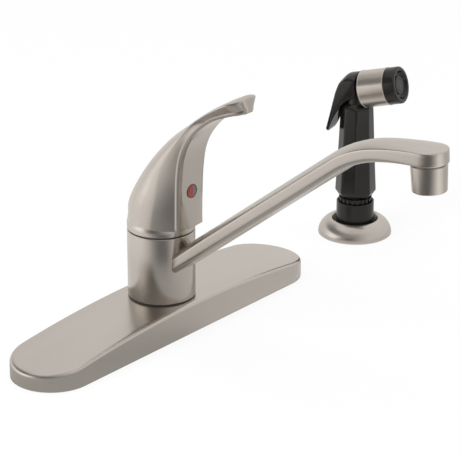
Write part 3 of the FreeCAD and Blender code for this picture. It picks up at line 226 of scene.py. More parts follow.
def make_grain(name, fine, coarse, fine_share):
    """A node group that lets fine and coarse noise, each given as (scale, detail), vary a
    colour and a roughness.  The fine noise also gives a height."""
    group = bpy.data.node_groups.new(name, "ShaderNodeTree")
    for label, kind in (("Vector", "NodeSocketVector"), ("Color", "NodeSocketColor"),
                        ("Second Color", "NodeSocketColor"), ("Roughness", "NodeSocketFloat"),
                        ("Roughness Spread", "NodeSocketFloat")):
        group.interface.new_socket(label, in_out="INPUT", socket_type=kind)
    for label, kind in (("Color", "NodeSocketColor"), ("Roughness", "NodeSocketFloat"),
                        ("Height", "NodeSocketFloat")):
        group.interface.new_socket(label, in_out="OUTPUT", socket_type=kind)
    nodes, link = group.nodes, group.links.new
    entry = nodes.new("NodeGroupInput")
    leave = nodes.new("NodeGroupOutput")
    fine_noise = add_node(nodes, "ShaderNodeTexNoise", {"Scale": fine[0], "Detail": fine[1]})
    coarse_noise = add_node(nodes, "ShaderNodeTexNoise",
                            {"Scale": coarse[0], "Detail": coarse[1]})
    link(entry.outputs["Vector"], fine_noise.inputs["Vector"])
    link(entry.outputs["Vector"], coarse_noise.inputs["Vector"])
    rest = add_node(nodes, "ShaderNodeMath", {1: 1.0 - fine_share}, operation="MULTIPLY")
    link(coarse_noise.outputs["Fac"], rest.inputs[0])
    blend = add_node(nodes, "ShaderNodeMath", {1: fine_share}, operation="MULTIPLY_ADD")
    link(fine_noise.outputs["Fac"], blend.inputs[0])
    link(rest.outputs[0], blend.inputs[2])
    tint = add_node(nodes, "ShaderNodeMix", data_type="RGBA")
    link(blend.outputs[0], tint.inputs["Factor"])
    link(entry.outputs["Color"], tint.inputs["A"])
    link(entry.outputs["Second Color"], tint.inputs["B"])
    rough = add_node(nodes, "ShaderNodeMath", operation="MULTIPLY_ADD")
    link(blend.outputs[0], rough.inputs[0])
    link(entry.outputs["Roughness Spread"], rough.inputs[1])
    link(entry.outputs["Roughness"], rough.inputs[2])
    link(tint.outputs["Result"], leave.inputs["Color"])
    link(rough.outputs[0], leave.inputs["Roughness"])
    link(fine_noise.outputs["Fac"], leave.inputs["Height"])
    return group


def grained(name, group, colors, roughness, spread, bump, depth, scale=(1.0, 1.0, 1.0)):
    """A material with two colours, a roughness and a relief that follow a grain."""
    material, nodes, links = node_material(name)
    shader = nodes["Principled BSDF"]
    place = nodes.new("ShaderNodeTexCoord")
    stretch = add_node(nodes, "ShaderNodeMapping", {"Scale": scale})
    links.new(place.outputs["Object"], stretch.inputs["Vector"])
    grain = add_node(nodes, "ShaderNodeGroup", node_tree=group)
    for label, value in (("Color", colors[0]), ("Second Color", colors[1]),
                         ("Roughness", roughness), ("Roughness Spread", spread)):
        grain.inputs[label].default_value = value
    links.new(stretch.outputs["Vector"], grain.inputs["Vector"])
    links.new(grain.outputs["Color"], shader.inputs["Base Color"])
    links.new(grain.outputs["Roughness"], shader.inputs["Roughness"])
    relief = add_node(nodes, "ShaderNodeBump", {"Strength": bump, "Distance": depth})
    links.new(grain.outputs["Height"], relief.inputs["Height"])
    links.new(relief.outputs["Normal"], shader.inputs["Normal"])
    return material, shader


brushed_grain = make_grain("brushed_grain", (1.0, 3.0), (0.02, 2.0), 0.5)


def grained_metal(name, lines_per_metre, colors, roughness, spread, bump):
    """A metal whose grain has so many lines per metre along X, Y and Z."""
    material, shader = grained(name, brushed_grain, colors, roughness, spread, bump,
                               BRUSHING_DEPTH, lines_per_metre)
    shader.inputs["Metallic"].default_value = 1.0
    return material


def satin_nickel(name, lines_per_metre):
    return grained_metal(name, lines_per_metre, (NICKEL_LIGHT, NICKEL_DARK), 0.22, 0.07, 0.25)


nickel_long = satin_nickel("nickel_brushed_long", (160.0, 3600.0, 3600.0))
nickel_turned = satin_nickel("nickel_turned", (420.0, 420.0, 4200.0))
nickel_arm = satin_nickel("nickel_brushed_arm", (3600.0, 160.0, 3600.0))


# ---- Deck plate: a long zinc shell with round ends.  Its top is a shallow arch, highest
# under the hub, and its upper edge is rolled over all the way round.
HOLE_PITCH = 101.6 * MM
PLATE_HALF = 26.4 * MM
PLATE_CROWN = 20.5 * MM
PLATE_END = 11.0 * MM
PLATE_ROLL = 2.6 * MM
PLATE_WALL = 2.4 * MM
PLATE_CEILING = 8.8 * MM
PLATE_FOOT_EDGE = 0.4 * MM
PLATE_END_STEPS, PLATE_SIDE_STEPS = 28, 44
ARCH_RADIUS = ((HOLE_PITCH + PLATE_HALF) ** 2 + (PLATE_CROWN - PLATE_END) ** 2) / (
    2 * (PLATE_CROWN - PLATE_END))


def arch_height(x):
    return PLATE_CROWN - ARCH_RADIUS + math.sqrt(ARCH_RADIUS ** 2 - x * x)


def pick(piece):
    """Makes a piece the active and only selected object."""
    bpy.ops.object.select_all(action="DESELECT")
    piece.select_set(True)
    bpy.context.view_layer.objects.active = piece


def weld(threshold=0.002 * MM):
    """Joins doubled points of the mesh in edit mode, turns its faces outwards and leaves
    edit mode."""
    bpy.ops.mesh.select_all(action="SELECT")
    bpy.ops.mesh.remove_doubles(threshold=threshold)
    bpy.ops.mesh.normals_make_consistent(inside=False)
    bpy.ops.object.mode_set(mode="OBJECT")


def skin(name, rings, cap_first=True, cap_last=True):
    """Joins rings of as many points each into one closed mesh."""
    bpy.ops.object.select_all(action="DESELECT")
    bpy.ops.mesh.primitive_circle_add(vertices=len(rings[0]), fill_type="NOTHING")
    piece = bpy.context.object
    piece.name = name
    piece.data.name = name
    bpy.ops.object.mode_set(mode="EDIT")
    shape = bmesh.from_edit_mesh(piece.data)
    shape.verts.ensure_lookup_table()
    count = len(rings[0])
    last = list(shape.verts)
    for vert, point in zip(last, rings[0]):
        vert.co = point
    if cap_first:
        shape.faces.new(reversed(last))
    for ring in rings[1:]:
        following = [shape.verts.new(point) for point in ring]
        for index in range(count):
            after = (index + 1) % count
            shape.faces.new((last[index], last[after], following[after], following[index]))
        last = following
    if cap_last:
        shape.faces.new(last)
    bmesh.update_edit_mesh(piece.data)
    weld()
    return piece


def soften(piece, width=0.0, angle=30.0, segments=3, smooth=40.0):
    """Rounds the sharp edges and shades the rest smooth."""
    pick(piece)
    if width:
        round_edges = piece.modifiers.new("round_edges", "BEVEL")
        round_edges.width = width
        round_edges.segments = segments
        round_edges.limit_method = "ANGLE"
        round_edges.angle_limit = math.radians(angle)
        bpy.ops.object.modifier_apply(modifier=round_edges.name)
    bpy.ops.object.shade_smooth_by_angle(angle=math.radians(smooth))


def finish(piece, material, body, node):
    """Gives a piece its finish, puts it under the body it moves with and hides the CAD node
    it stands for."""
    piece.data.materials.clear()
    piece.data.materials.append(material)
    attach(piece, body)
    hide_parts(node)


def stadium_ring(reach, height_at):
    """Points at one distance from the plate's middle line, half circle, side, half circle,
    side, each with its own height."""
    points = []
    for side in (1, -1):
        for step in range(PLATE_END_STEPS):
            angle = math.radians(-90.0 + 180.0 * step / PLATE_END_STEPS)
            points.append((side * (HOLE_PITCH + reach * math.cos(angle)),
                           side * reach * math.sin(angle)))
        for step in range(PLATE_SIDE_STEPS):
            x = HOLE_PITCH * (1 - 2 * step / PLATE_SIDE_STEPS)
            points.append((side * x, side * reach))
    return [(x, y, height_at(x)) for x, y in points]


def deck_plate():
    rings = [stadium_ring(PLATE_HALF - PLATE_WALL, lambda x: PLATE_CEILING),
             stadium_ring(PLATE_HALF - PLATE_WALL, lambda x: 0.0),
             stadium_ring(PLATE_HALF - PLATE_FOOT_EDGE, lambda x: 0.0),
             stadium_ring(PLATE_HALF, lambda x: PLATE_FOOT_EDGE),
             stadium_ring(PLATE_HALF, lambda x: (arch_height(x) - PLATE_ROLL) * 0.5)]
    for step in range(9):
        angle = math.radians(90.0 * step / 8)
        inset = PLATE_ROLL * (1 - math.cos(angle))
        drop = PLATE_ROLL * (1 - math.sin(angle))
        rings.append(stadium_ring(PLATE_HALF - inset, lambda x: arch_height(x) - drop))
    flat = PLATE_HALF - PLATE_ROLL
    for share in (0.9, 0.72, 0.5, 0.25, 0.0):
        rings.append(stadium_ring(flat * share, arch_height))
    plate = skin("deck_plate", rings, cap_last=False)
    soften(plate, smooth=50.0)
    finish(plate, nickel_long, "root", "base_plate")


deck_plate()


# ---- Hub: a brass sleeve turned on a lathe, which swings round the valve body between two
# thin dark bearing rings.  Its rims are finely rounded.
HUB_RADIUS = 21.6 * MM
HUB_LOW = 21.15 * MM
HUB_TOP = 65.35 * MM
HUB_BORE = 17.6 * MM
HUB_EDGE = 0.45 * MM


def turned(name, profile, sides=96):
    """Turns a profile of (radius, height) points, listed from the axis outwards or as a
    closed ring, into a round piece: a circle is drawn out and resized step by step."""
    bpy.ops.object.select_all(action="DESELECT")
    radius, height = profile[0]
    bpy.ops.mesh.primitive_circle_add(vertices=sides, radius=radius, location=(0, 0, height),
                                      fill_type="NOTHING")
    piece = bpy.context.object
    piece.name = name
    piece.data.name = name
    bpy.ops.object.transform_apply(location=True, rotation=True, scale=True)
    bpy.ops.object.mode_set(mode="EDIT")
    bpy.ops.mesh.select_all(action="SELECT")
    for wider, higher in profile[1:]:
        bpy.ops.mesh.extrude_edges_move(
            TRANSFORM_OT_translate={"value": (0, 0, higher - height)})
        ratio = wider / radius
        bpy.ops.transform.resize(value=(ratio, ratio, 1), center_override=(0, 0, higher))
        radius, height = wider, higher
    weld()
    return piece


def corner_arc(across, up, radius, first, last, steps=6):
    """Points of a rounded corner in a profile, from angle first to last."""
    points = []
    for step in range(steps + 1):
        angle = math.radians(first + (last - first) * step / steps)
        points.append((across + radius * math.cos(angle), up + radius * math.sin(angle)))
    return points


def spout_hub():
    hub = turned("hub_sleeve", [(HUB_BORE, HUB_LOW), (HUB_RADIUS, HUB_LOW),
                                (HUB_RADIUS, HUB_TOP), (HUB_BORE, HUB_TOP),
                                (HUB_BORE, HUB_LOW)])
    soften(hub, HUB_EDGE)
    finish(hub, nickel_turned, "spout", "spout_hub")


spout_hub()


# ---- Cap: the band above the hub and the ball-shaped dome that the handle rocks over, one
# turned piece that stays still.
CAP_LOW = 66.2 * MM
CAP_BORE = 17.4 * MM
CAP_EDGE = 0.3 * MM
PIVOT_HEIGHT = 71.0 * MM
DOME_RADIUS = 21.2 * MM
DOME_OPENING = 12.5 * MM
DOME_INSIDE = 19.0 * MM


def cap():
    rim = math.degrees(math.acos(DOME_OPENING / DOME_RADIUS))
    rim_inside = math.degrees(math.acos(DOME_OPENING / DOME_INSIDE))
    profile = [(CAP_BORE, CAP_LOW), (HUB_RADIUS - CAP_EDGE, CAP_LOW),
               (HUB_RADIUS, CAP_LOW + CAP_EDGE), (HUB_RADIUS, PIVOT_HEIGHT - 2 * CAP_EDGE)]
    profile += corner_arc(0, PIVOT_HEIGHT, DOME_RADIUS, 0, rim, 12)
    profile += corner_arc(0, PIVOT_HEIGHT, DOME_INSIDE, rim_inside, 0, 8)
    profile += [(CAP_BORE, PIVOT_HEIGHT), (CAP_BORE, CAP_LOW)]
    dome = turned("cap_band_and_dome", profile)
    soften(dome)
    finish(dome, nickel_turned, "root", "cap")


cap()


# ---- Handle: one zinc casting, a hood over the dome that sweeps up into the lever and a
# dished paddle.  A flat panel runs up its front between two shallow facets, a soft ridge
# runs along each flank, and the hood's lower edge arches up behind.
SKIRT_FRONT = 71.6 * MM
SKIRT_ARCH_START = -16.0 * MM
SKIRT_ARCH_RADIUS = 56.0 * MM
HOOD_INSIDE = 21.55 * MM
HOOD_EDGE = 0.35 * MM
PADDLE_CORNER = 9.5 * MM
PADDLE_EDGE = 1.6 * MM
PADDLE_LEAN = 0.34
FACET_TURN = 1.3
RINGS_PER_STATION = 5
# Front and back points of the middle plane as (towards the user, above the pivot), half
# widths of panel, facet and ridge, the facet's depth, the ridge's depth and the bulge of
# the flank, in mm, from the skirt up to the tip.
HANDLE_STATIONS = (
    (25.3, -0.5, -21.4, -0.5, 3.6, 12.3, 22.3, 2.4, 18.5, 0.3),
    (25.3, 12.0, -19.6, 13.0, 7.0, 12.3, 21.2, 2.3, 16.9, 0.5),
    (25.5, 24.0, -14.0, 25.0, 9.3, 12.4, 19.3, 2.2, 15.6, 0.5),
    (26.1, 37.0, -5.5, 38.0, 9.5, 12.5, 17.6, 2.1, 14.8, 0.4),
    (27.9, 49.1, 4.8, 50.4, 9.6, 12.5, 15.9, 2.0, 11.2, 0.3),
    (32.0, 59.7, 16.5, 61.8, 9.8, 12.3, 14.5, 1.8, 7.9, 0.1),
    (39.4, 69.8, 32.2, 73.7, 10.0, 11.7, 13.2, 1.2, 6.2, -0.4),
    (49.3, 78.0, 44.8, 83.1, 8.6, 10.2, 13.2, 1.2, 5.4, 0.1),
    (60.5, 82.8, 56.2, 90.2, 6.6, 8.6, 13.4, 1.6, 7.4, 0.1),
    (66.6, 84.7, 62.2, 93.6, 5.6, 7.6, 13.4, 1.7, 8.6, 0.1),
    (72.2, 86.4, 67.8, 96.4, 4.8, 6.8, 12.8, 1.8, 8.8, 0.1),
)


def smooth_between(rows, where):
    """A row between the given ones, on a smooth curve through them."""
    index = min(int(where), len(rows) - 2)
    share = where - index
    before = rows[max(index - 1, 0)]
    start, end = rows[index], rows[index + 1]
    after = rows[min(index + 2, len(rows) - 1)]
    row = []
    for p, q, r, s in zip(before, start, end, after):
        row.append(0.5 * (2 * q + (r - p) * share + (2 * p - 5 * q + 4 * r - s) * share ** 2
                          + (3 * q - p - 3 * r + s) * share ** 3))
    return row


def rounded_turn(start, corner, end, steps):
    """Points of a soft corner, without its two ends."""
    points = []
    for step in range(1, steps):
        t = step / steps
        points.append(tuple((1 - t) ** 2 * a + 2 * t * (1 - t) * b + t ** 2 * c
                            for a, b, c in zip(start, corner, end)))
    return points


def handle_ring(row):
    """One cross-section of the handle, from the middle of the panel round to the back and
    on to the other side."""
    front, front_up, back, back_up, panel, facet, ridge, facet_in, ridge_in, bulge = row
    run, rise = front - back, back_up - front_up
    depth = math.hypot(run, rise)
    crown = depth - ridge_in
    radius = (ridge * ridge + crown * crown) / (2 * crown)
    edge = (facet - FACET_TURN, facet_in * 0.34)
    flank_start = (facet + 0.25, facet_in + 0.9)

    def flank(share):
        return (flank_start[0] + (ridge - flank_start[0]) * share
                + bulge * math.sin(math.pi * share),
                flank_start[1] + (ridge_in - flank_start[1]) * share)

    half = math.asin(min(ridge / radius, 1.0))
    if crown > radius:
        half = math.pi - half

    def rear(share):
        angle = half * (1 - share)
        return (radius * math.sin(angle), depth - radius + radius * math.cos(angle))

    side = [(panel * 0.5, 0.0), (panel, 0.0), (panel + (edge[0] - panel) * 0.5, edge[1] * 0.5),
            edge]
    side += rounded_turn(edge, (facet + 0.1, facet_in * 0.5), flank_start, 5)
    side += [flank(share) for share in (0.0, 0.14, 0.28, 0.42, 0.56, 0.7, 0.82)]
    side += rounded_turn(flank(0.82), (ridge, ridge_in), rear(0.16), 7)
    side += [rear(share) for share in (0.16, 0.28, 0.4, 0.52, 0.64, 0.76, 0.88)]
    across = [(0.0, 0.0)] + side + [rear(1.0)] + [(-x, y) for x, y in reversed(side)]
    ring = []
    for x, into in across:
        share = into / depth
        ring.append(Vector((x, -(front - run * share), front_up + rise * share)))
    return ring


def skirt_height(y):
    """The hood's lower edge: level in front and arched up towards the back."""
    height = SKIRT_FRONT
    if y > SKIRT_ARCH_START:
        height += SKIRT_ARCH_RADIUS - math.sqrt(
            SKIRT_ARCH_RADIUS ** 2 - (y - SKIRT_ARCH_START) ** 2)
    return height


def trim_to_skirt(rings):
    """Cuts the surface off along the hood's lower edge."""
    for index in range(len(rings[0])):
        path = [ring[index] for ring in rings]
        lap = 0
        while path[lap + 1].z < skirt_height(path[lap + 1].y):
            lap += 1
        below, above = 0.0, 1.0
        for halving in range(20):
            middle = (below + above) / 2
            point = path[lap].lerp(path[lap + 1], middle)
            if point.z < skirt_height(point.y):
                below = middle
            else:
                above = middle
        for ring in rings[:lap + 1]:
            ring[index] = point.copy()


def handle_casting():
    """Rings up the handle and round its end.  The paddle's corners are rounded in plan and
    its end leans ahead, then the skirt is cut and the hollow over the dome added."""
    count = RINGS_PER_STATION * (len(HANDLE_STATIONS) - 2) + 1
    places = [0.0, 0.3, 0.65] + [1.0 + step / RINGS_PER_STATION for step in range(count)]
    rings = []
    for place in places:
        ring = handle_ring(smooth_between(HANDLE_STATIONS, place))
        rings.append([Vector((p.x * MM, p.y * MM, PIVOT_HEIGHT + p.z * MM)) for p in ring])
    last, before = rings[-1], rings[-3]
    middle = sum(last, Vector()) / len(last)
    forward = (middle - sum(before, Vector()) / len(before)).normalized()
    for step in range(1, 8):
        lean = math.radians(12.0 * step)
        push = PADDLE_EDGE * math.sin(lean)
        inset = PADDLE_EDGE * (1 - math.cos(lean))
        ring = []
        for point in last:
            inward = middle - point
            inward.x *= 0.3
            ring.append(point + forward * push + inward.normalized() * inset)
        rings.append(ring)
    side = max(p.x for p in last)
    for ring in rings:
        centre = sum(ring, Vector()) / len(ring)
        to_end = (middle - centre).dot(forward) + PADDLE_EDGE
        over = min(PADDLE_CORNER - to_end, PADDLE_CORNER)
        if over > 0:
            limit = (side - PADDLE_CORNER + math.sqrt(PADDLE_CORNER ** 2 - over ** 2)) / side
            for point in ring:
                point.x *= limit
                share = PADDLE_LEAN * (over / PADDLE_CORNER) ** 2
                point += forward * (point.z - centre.z) * share
    trim_to_skirt(rings)
    foot = rings[0]
    inner = []
    for share in (1.0, 0.75, 0.5, 0.25, 0.02):
        ring = []
        for point in foot:
            angle = math.atan2(point.y, point.x)
            start = math.asin(min((point.z - PIVOT_HEIGHT) / HOOD_INSIDE, 1.0))
            lift = start + (math.pi / 2 - start) * (1 - share)
            ring.append(Vector((HOOD_INSIDE * math.cos(lift) * math.cos(angle),
                                HOOD_INSIDE * math.cos(lift) * math.sin(angle),
                                PIVOT_HEIGHT + HOOD_INSIDE * math.sin(lift))))
        inner.append(ring)
    return skin("handle_casting", list(reversed(inner)) + rings)


handle = handle_casting()
soften(handle, HOOD_EDGE, angle=58.0, segments=2, smooth=15.0)
nickel_handle = satin_nickel("nickel_handle", (3200.0, 420.0, 420.0))
finish(handle, nickel_handle, "lever", "handle")


# ---- Temperature button: a small plastic disc pressed into the panel over the set screw,
# red on the hot side and blue-grey on the cold side, under a clear coat.
BUTTON_RADIUS = 4.55 * MM
BUTTON_HEIGHT = 96.0 * MM
BUTTON_STEPS = ((0.35, 0.0), (0.3, 0.22), (1.2, -0.12), (1.4, -0.06))
BUTTON_HALVES = ((0.60, (0.36, 0.028, 0.015, 1.0)), (0.66, (0.12, 0.14, 0.17, 1.0)))
BUTTON_RIM = (0.05, 0.03, 0.03, 1.0)
button_low, button_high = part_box("handle_button")

bpy.ops.object.select_all(action="DESELECT")
bpy.ops.mesh.primitive_cylinder_add(
    vertices=64, radius=BUTTON_RADIUS, depth=button_high.y - button_low.y,
    location=(0, (button_low.y + button_high.y) / 2, BUTTON_HEIGHT),
    rotation=(math.radians(90), 0, 0))
button = bpy.context.object
button.name = "temperature_button"
bpy.ops.object.transform_apply(location=True, rotation=True, scale=True)
bpy.ops.object.mode_set(mode="EDIT")
bpy.ops.mesh.select_all(action="DESELECT")
bpy.ops.mesh.select_mode(type="FACE")
disc = bmesh.from_edit_mesh(button.data)
for face in disc.faces:
    face.select = face.normal.y < -0.9
bmesh.update_edit_mesh(button.data)
for inset, sink in BUTTON_STEPS:
    bpy.ops.mesh.inset(thickness=inset * MM)
    bpy.ops.transform.translate(value=(0, sink * MM, 0))
bpy.ops.object.mode_set(mode="OBJECT")
soften(button, smooth=35.0)

button_plastic, nodes, links = node_material("button_plastic")
shader = nodes["Principled BSDF"]
shader.inputs["Roughness"].default_value = 0.22
shader.inputs["Coat Weight"].default_value = 0.5
place = nodes.new("ShaderNodeTexCoord")
centre = add_node(nodes, "ShaderNodeMapping", {"Location": (0, 0, -BUTTON_HEIGHT)})
links.new(place.outputs["Object"], centre.inputs["Vector"])
apart = nodes.new("ShaderNodeSeparateXYZ")
links.new(centre.outputs["Vector"], apart.inputs["Vector"])
halves = nodes.new("ShaderNodeValToRGB")
for stop, (position, color) in zip(halves.color_ramp.elements, BUTTON_HALVES):
    stop.position = position
    stop.color = color
spread = add_node(nodes, "ShaderNodeMapRange",
                  {"From Min": -BUTTON_RADIUS, "From Max": BUTTON_RADIUS})
links.new(apart.outputs["X"], spread.inputs["Value"])
links.new(spread.outputs["Result"], halves.inputs["Fac"])
from_centre = add_node(nodes, "ShaderNodeVectorMath", {1: (1.0, 0.0, 1.0)},
                       operation="MULTIPLY")
links.new(centre.outputs["Vector"], from_centre.inputs[0])
distance = add_node(nodes, "ShaderNodeVectorMath", operation="LENGTH")
links.new(from_centre.outputs["Vector"], distance.inputs[0])
rim = add_node(nodes, "ShaderNodeMapRange", {"From Min": BUTTON_RADIUS - 0.9 * MM,
                                             "From Max": BUTTON_RADIUS - 0.4 * MM})
links.new(distance.outputs["Value"], rim.inputs["Value"])
edged = add_node(nodes, "ShaderNodeMix", {"B": BUTTON_RIM}, data_type="RGBA")
links.new(rim.outputs["Result"], edged.inputs["Factor"])
links.new(halves.outputs["Color"], edged.inputs["A"])
links.new(edged.outputs["Result"], shader.inputs["Base Color"])
finish(button, button_plastic, "lever", "handle_button")


# ---- Spout arm: a brass tube pressed to a crowned section with crisp upper edges, brazed
# to the hub.  It climbs straight, bends over and ends in a round outlet.
ARM_HALF = 11.4
ARM_END_HALF = 11.8
ARM_DEPTH = 8.2
TIP_DEPTH = 8.4
ARM_START = (12.0, 46.7)
ARM_SLOPE = 37.8
ARM_RUN = 126.0
ARM_BEND = (83.0, 15.0)
ARM_TIP = (174.0, 3.6)
ARM_CROWN, SHOULDER_CROWN, TIP_CROWN = 3.9, 3.3, 1.4
ARM_CORNER, TIP_CORNER = 3.2, 0.9
ARM_ROOT_RADIUS = 19.5


def arm_side(half, crown, corner, depth):
    """Right half of the section, from the middle of the crown down to the middle of the
    underside, as (across, up)."""
    radius = (half * half + crown * crown) / (2 * crown)
    sweep = math.asin(half / radius)
    points = []
    for step in range(9):
        angle = sweep * step / 8
        points.append((radius * math.sin(angle), crown - radius + radius * math.cos(angle)))
    points.append((half, -0.35 * (depth - corner)))
    points.append((half, -0.7 * (depth - corner)))
    points += corner_arc(half - corner, corner - depth, corner, 0, -90, 6)
    points += [((half - corner) * 0.5, -depth), (0.0, -depth)]
    return points


def arm_spots():
    """Places along the arm as (towards the user, height, slope, share of the way from the
    shoulder to the tip, crown)."""
    out, height = ARM_START
    climb = math.tan(math.radians(ARM_SLOPE))
    spots = [(out + ARM_RUN * share, height + ARM_RUN * share * climb, ARM_SLOPE, 0.0, ARM_CROWN)
             for share in (0.0, 0.25, 0.5, 0.75, 1.0)]
    bends = ((ARM_BEND, ARM_SLOPE, ARM_CROWN, SHOULDER_CROWN, 0.0),
             (ARM_TIP, ARM_BEND[1], SHOULDER_CROWN, TIP_CROWN, 1.0))
    for (radius, last), first, crown_first, crown_last, toward_tip in bends:
        out, height = spots[-1][:2]
        for step in range(1, 11):
            share = step / 10
            slope = math.radians(first + (last - first) * share)
            start = math.radians(first)
            spots.append((out + radius * (math.sin(start) - math.sin(slope)),
                          height + radius * (math.cos(slope) - math.cos(start)),
                          math.degrees(slope), toward_tip * share,
                          crown_first + (crown_last - crown_first) * share))
    return spots


def spout_arm():
    rings = []
    for index, (out, height, slope, share, crown) in enumerate(arm_spots()):
        half = ARM_HALF + (ARM_END_HALF - ARM_HALF) * share
        corner = ARM_CORNER + (TIP_CORNER - ARM_CORNER) * share
        side = arm_side(half, crown, corner, ARM_DEPTH + (TIP_DEPTH - ARM_DEPTH) * share)
        section = side + [(-x, up) for x, up in reversed(side[1:-1])]
        lean = math.radians(slope)
        ring = []
        for x, up in section:
            y, z = -out + up * math.sin(lean), height + up * math.cos(lean)
            if index == 0:
                onto_hub = y + math.sqrt(ARM_ROOT_RADIUS ** 2 - x * x)
                y, z = y - onto_hub, z + onto_hub * math.tan(lean)
            ring.append(Vector((x, y, z)) * MM)
        rings.append(ring)
    arm = skin("spout_arm_tube", rings, cap_last=False)
    bpy.ops.object.mode_set(mode="EDIT")
    bpy.ops.mesh.select_mode(type="EDGE")
    bpy.ops.mesh.select_all(action="DESELECT")
    out, height, slope = arm_spots()[-1][:3]
    lean = math.radians(slope)
    centre = Vector((0.0, -out, height)) * MM
    along = Vector((0.0, -math.cos(lean), math.sin(lean)))
    shape = bmesh.from_edit_mesh(arm.data)
    for edge in shape.edges:
        at_end = all(abs((vert.co - centre).dot(along)) < 0.00002 for vert in edge.verts)
        edge.select = at_end and all(vert.co.x > -0.00001 for vert in edge.verts)
    bmesh.update_edit_mesh(arm.data)
    bpy.ops.mesh.spin(steps=24, angle=math.pi, center=centre,
                      axis=Vector((0.0, math.sin(lean), math.cos(lean))))
    weld(0.03 * MM)
    soften(arm, 0.55 * MM, angle=34.0, segments=3, smooth=30.0)
    finish(arm, nickel_arm, "spout", "spout_arm")


spout_arm()


# ---- Aerator: a turned shell, a little narrower at its mouth, screwed up into the outlet
# against a dark washer.
AERATOR_GAP = 0.8
AERATOR_TOP = 10.9
AERATOR_MOUTH = 10.3
AERATOR_LENGTH = 16.2
AERATOR_WALL = 1.5
AERATOR_EDGE = 0.4
MOUTH_ROUND = 0.7
NIPPLE_RADIUS, NIPPLE_BORE = 9.1, 8.3


def stand_on(piece, place, tilt=0.0, turn=0.0):
    """Tilts a piece about X, turns it about Z and moves it to its place, then applies it."""
    pick(piece)
    piece.matrix_world = (Matrix.Translation(place) @ Matrix.Rotation(math.radians(turn), 4, "Z")
                          @ Matrix.Rotation(math.radians(tilt), 4, "X"))
    bpy.ops.object.transform_apply(location=True, rotation=True, scale=True)


def aerator():
    low = -AERATOR_GAP - AERATOR_LENGTH
    inner = AERATOR_MOUTH - AERATOR_WALL
    profile = [(inner, -AERATOR_GAP - 3.0), (inner, low + AERATOR_EDGE),
               (inner + AERATOR_EDGE, low), (AERATOR_MOUTH - MOUTH_ROUND, low)]
    profile += corner_arc(AERATOR_MOUTH - MOUTH_ROUND, low + MOUTH_ROUND, MOUTH_ROUND, -90, 0, 4)
    profile += [(AERATOR_TOP, -AERATOR_GAP - AERATOR_EDGE),
                (AERATOR_TOP - AERATOR_EDGE, -AERATOR_GAP), (NIPPLE_RADIUS, -AERATOR_GAP),
                (NIPPLE_RADIUS, 0.0), (NIPPLE_BORE, 0.0)]
    shell = turned("aerator_shell_turned", [(r * MM, z * MM) for r, z in profile])
    out, height, slope = arm_spots()[-1][:3]
    lean = math.radians(slope)
    place = Vector((0.0, -(out + TIP_DEPTH * math.sin(lean)),
                    height - TIP_DEPTH * math.cos(lean))) * MM
    stand_on(shell, place, tilt=-slope)
    soften(shell, smooth=32.0)
    finish(shell, nickel_turned, "spout", "aerator_shell")


aerator()


# ---- Spray flange: a round zinc escutcheon that covers the second deck hole, domed up to a
# crest and rolled over into a recess for the holder.
SPRAY_AT = Vector((203.2, -2.3, 0.0)) * MM
FLANGE_RADIUS = 25.5
FLANGE_RIM = 1.8
FLANGE_DOME = (13.64, -0.03, 12.0)
FLANGE_CREST = 11.3
FLANGE_BORE = 12.5
FLANGE_SEAT = 6.0
FLANGE_FOOT_EDGE = 0.35
FLANGE_HOLLOW = ((14.8, 0.0), (14.8, 4.6), (19.2, 4.6), (23.4, 0.0))


def spray_flange():
    across, up, radius = FLANGE_DOME
    profile = [(FLANGE_BORE, FLANGE_SEAT), (FLANGE_BORE, 0.0), *FLANGE_HOLLOW,
               (FLANGE_RADIUS - FLANGE_FOOT_EDGE, 0.0), (FLANGE_RADIUS, FLANGE_FOOT_EDGE),
               (FLANGE_RADIUS, FLANGE_RIM - 0.5), (FLANGE_RADIUS - 0.12, FLANGE_RIM)]
    profile += corner_arc(across, up, radius - 0.05, 11.5, 68.0, 16)
    profile += corner_arc(17.1, FLANGE_CREST - 1.3, 1.3, 70, 172, 8)
    profile += [(14.9, FLANGE_SEAT + 1.2), (14.5, FLANGE_SEAT), (FLANGE_BORE, FLANGE_SEAT)]
    flange = turned("spray_flange_turned", [(r * MM, z * MM) for r, z in profile], sides=128)
    stand_on(flange, SPRAY_AT)
    soften(flange, smooth=45.0)
    finish(flange, nickel_turned, "root", "spray_flange")


spray_flange()


# ---- Plastics and rubber: moulded parts with a faint waviness and a fine, uneven gloss.
moulded_skin = make_grain("moulded_skin", (1400.0, 2.0), (90.0, 3.0), 0.0)


def moulded(name, colors, roughness, spread, relief_depth, gloss=0.5):
    """A plastic, rubber or ceramic with the moulded skin."""
    material, shader = grained(name, moulded_skin, colors, roughness, spread, 0.2,
                               relief_depth)
    shader.inputs["Specular IOR Level"].default_value = gloss
    return material


black_plastic = moulded("black_plastic", ((0.007, 0.006, 0.0055, 1.0),
                                          (0.012, 0.0105, 0.0095, 1.0)),
                        0.16, 0.1, 0.01 * MM, gloss=0.42)
grey_plastic = moulded("grey_plastic", ((0.03, 0.0285, 0.028, 1.0), (0.046, 0.043, 0.042, 1.0)),
                       0.42, 0.12, 0.03 * MM)


# ---- Spray holder: the moulded cup that the spray stands in, pushed down through the flange
# on a lip, with a threaded shank for the nut below the deck.
HOLDER_RADIUS = 13.0
HOLDER_TOP = 24.0
HOLDER_CUP = 11.9
HOLDER_FLOOR = 14.0
HOLDER_BORE = 8.0
HOLDER_SHANK = 12.4
HOLDER_FOOT = -34.0
THREAD_TURNS = 18
THREAD_PITCH = 1.5
THREAD_DEPTH = 0.7


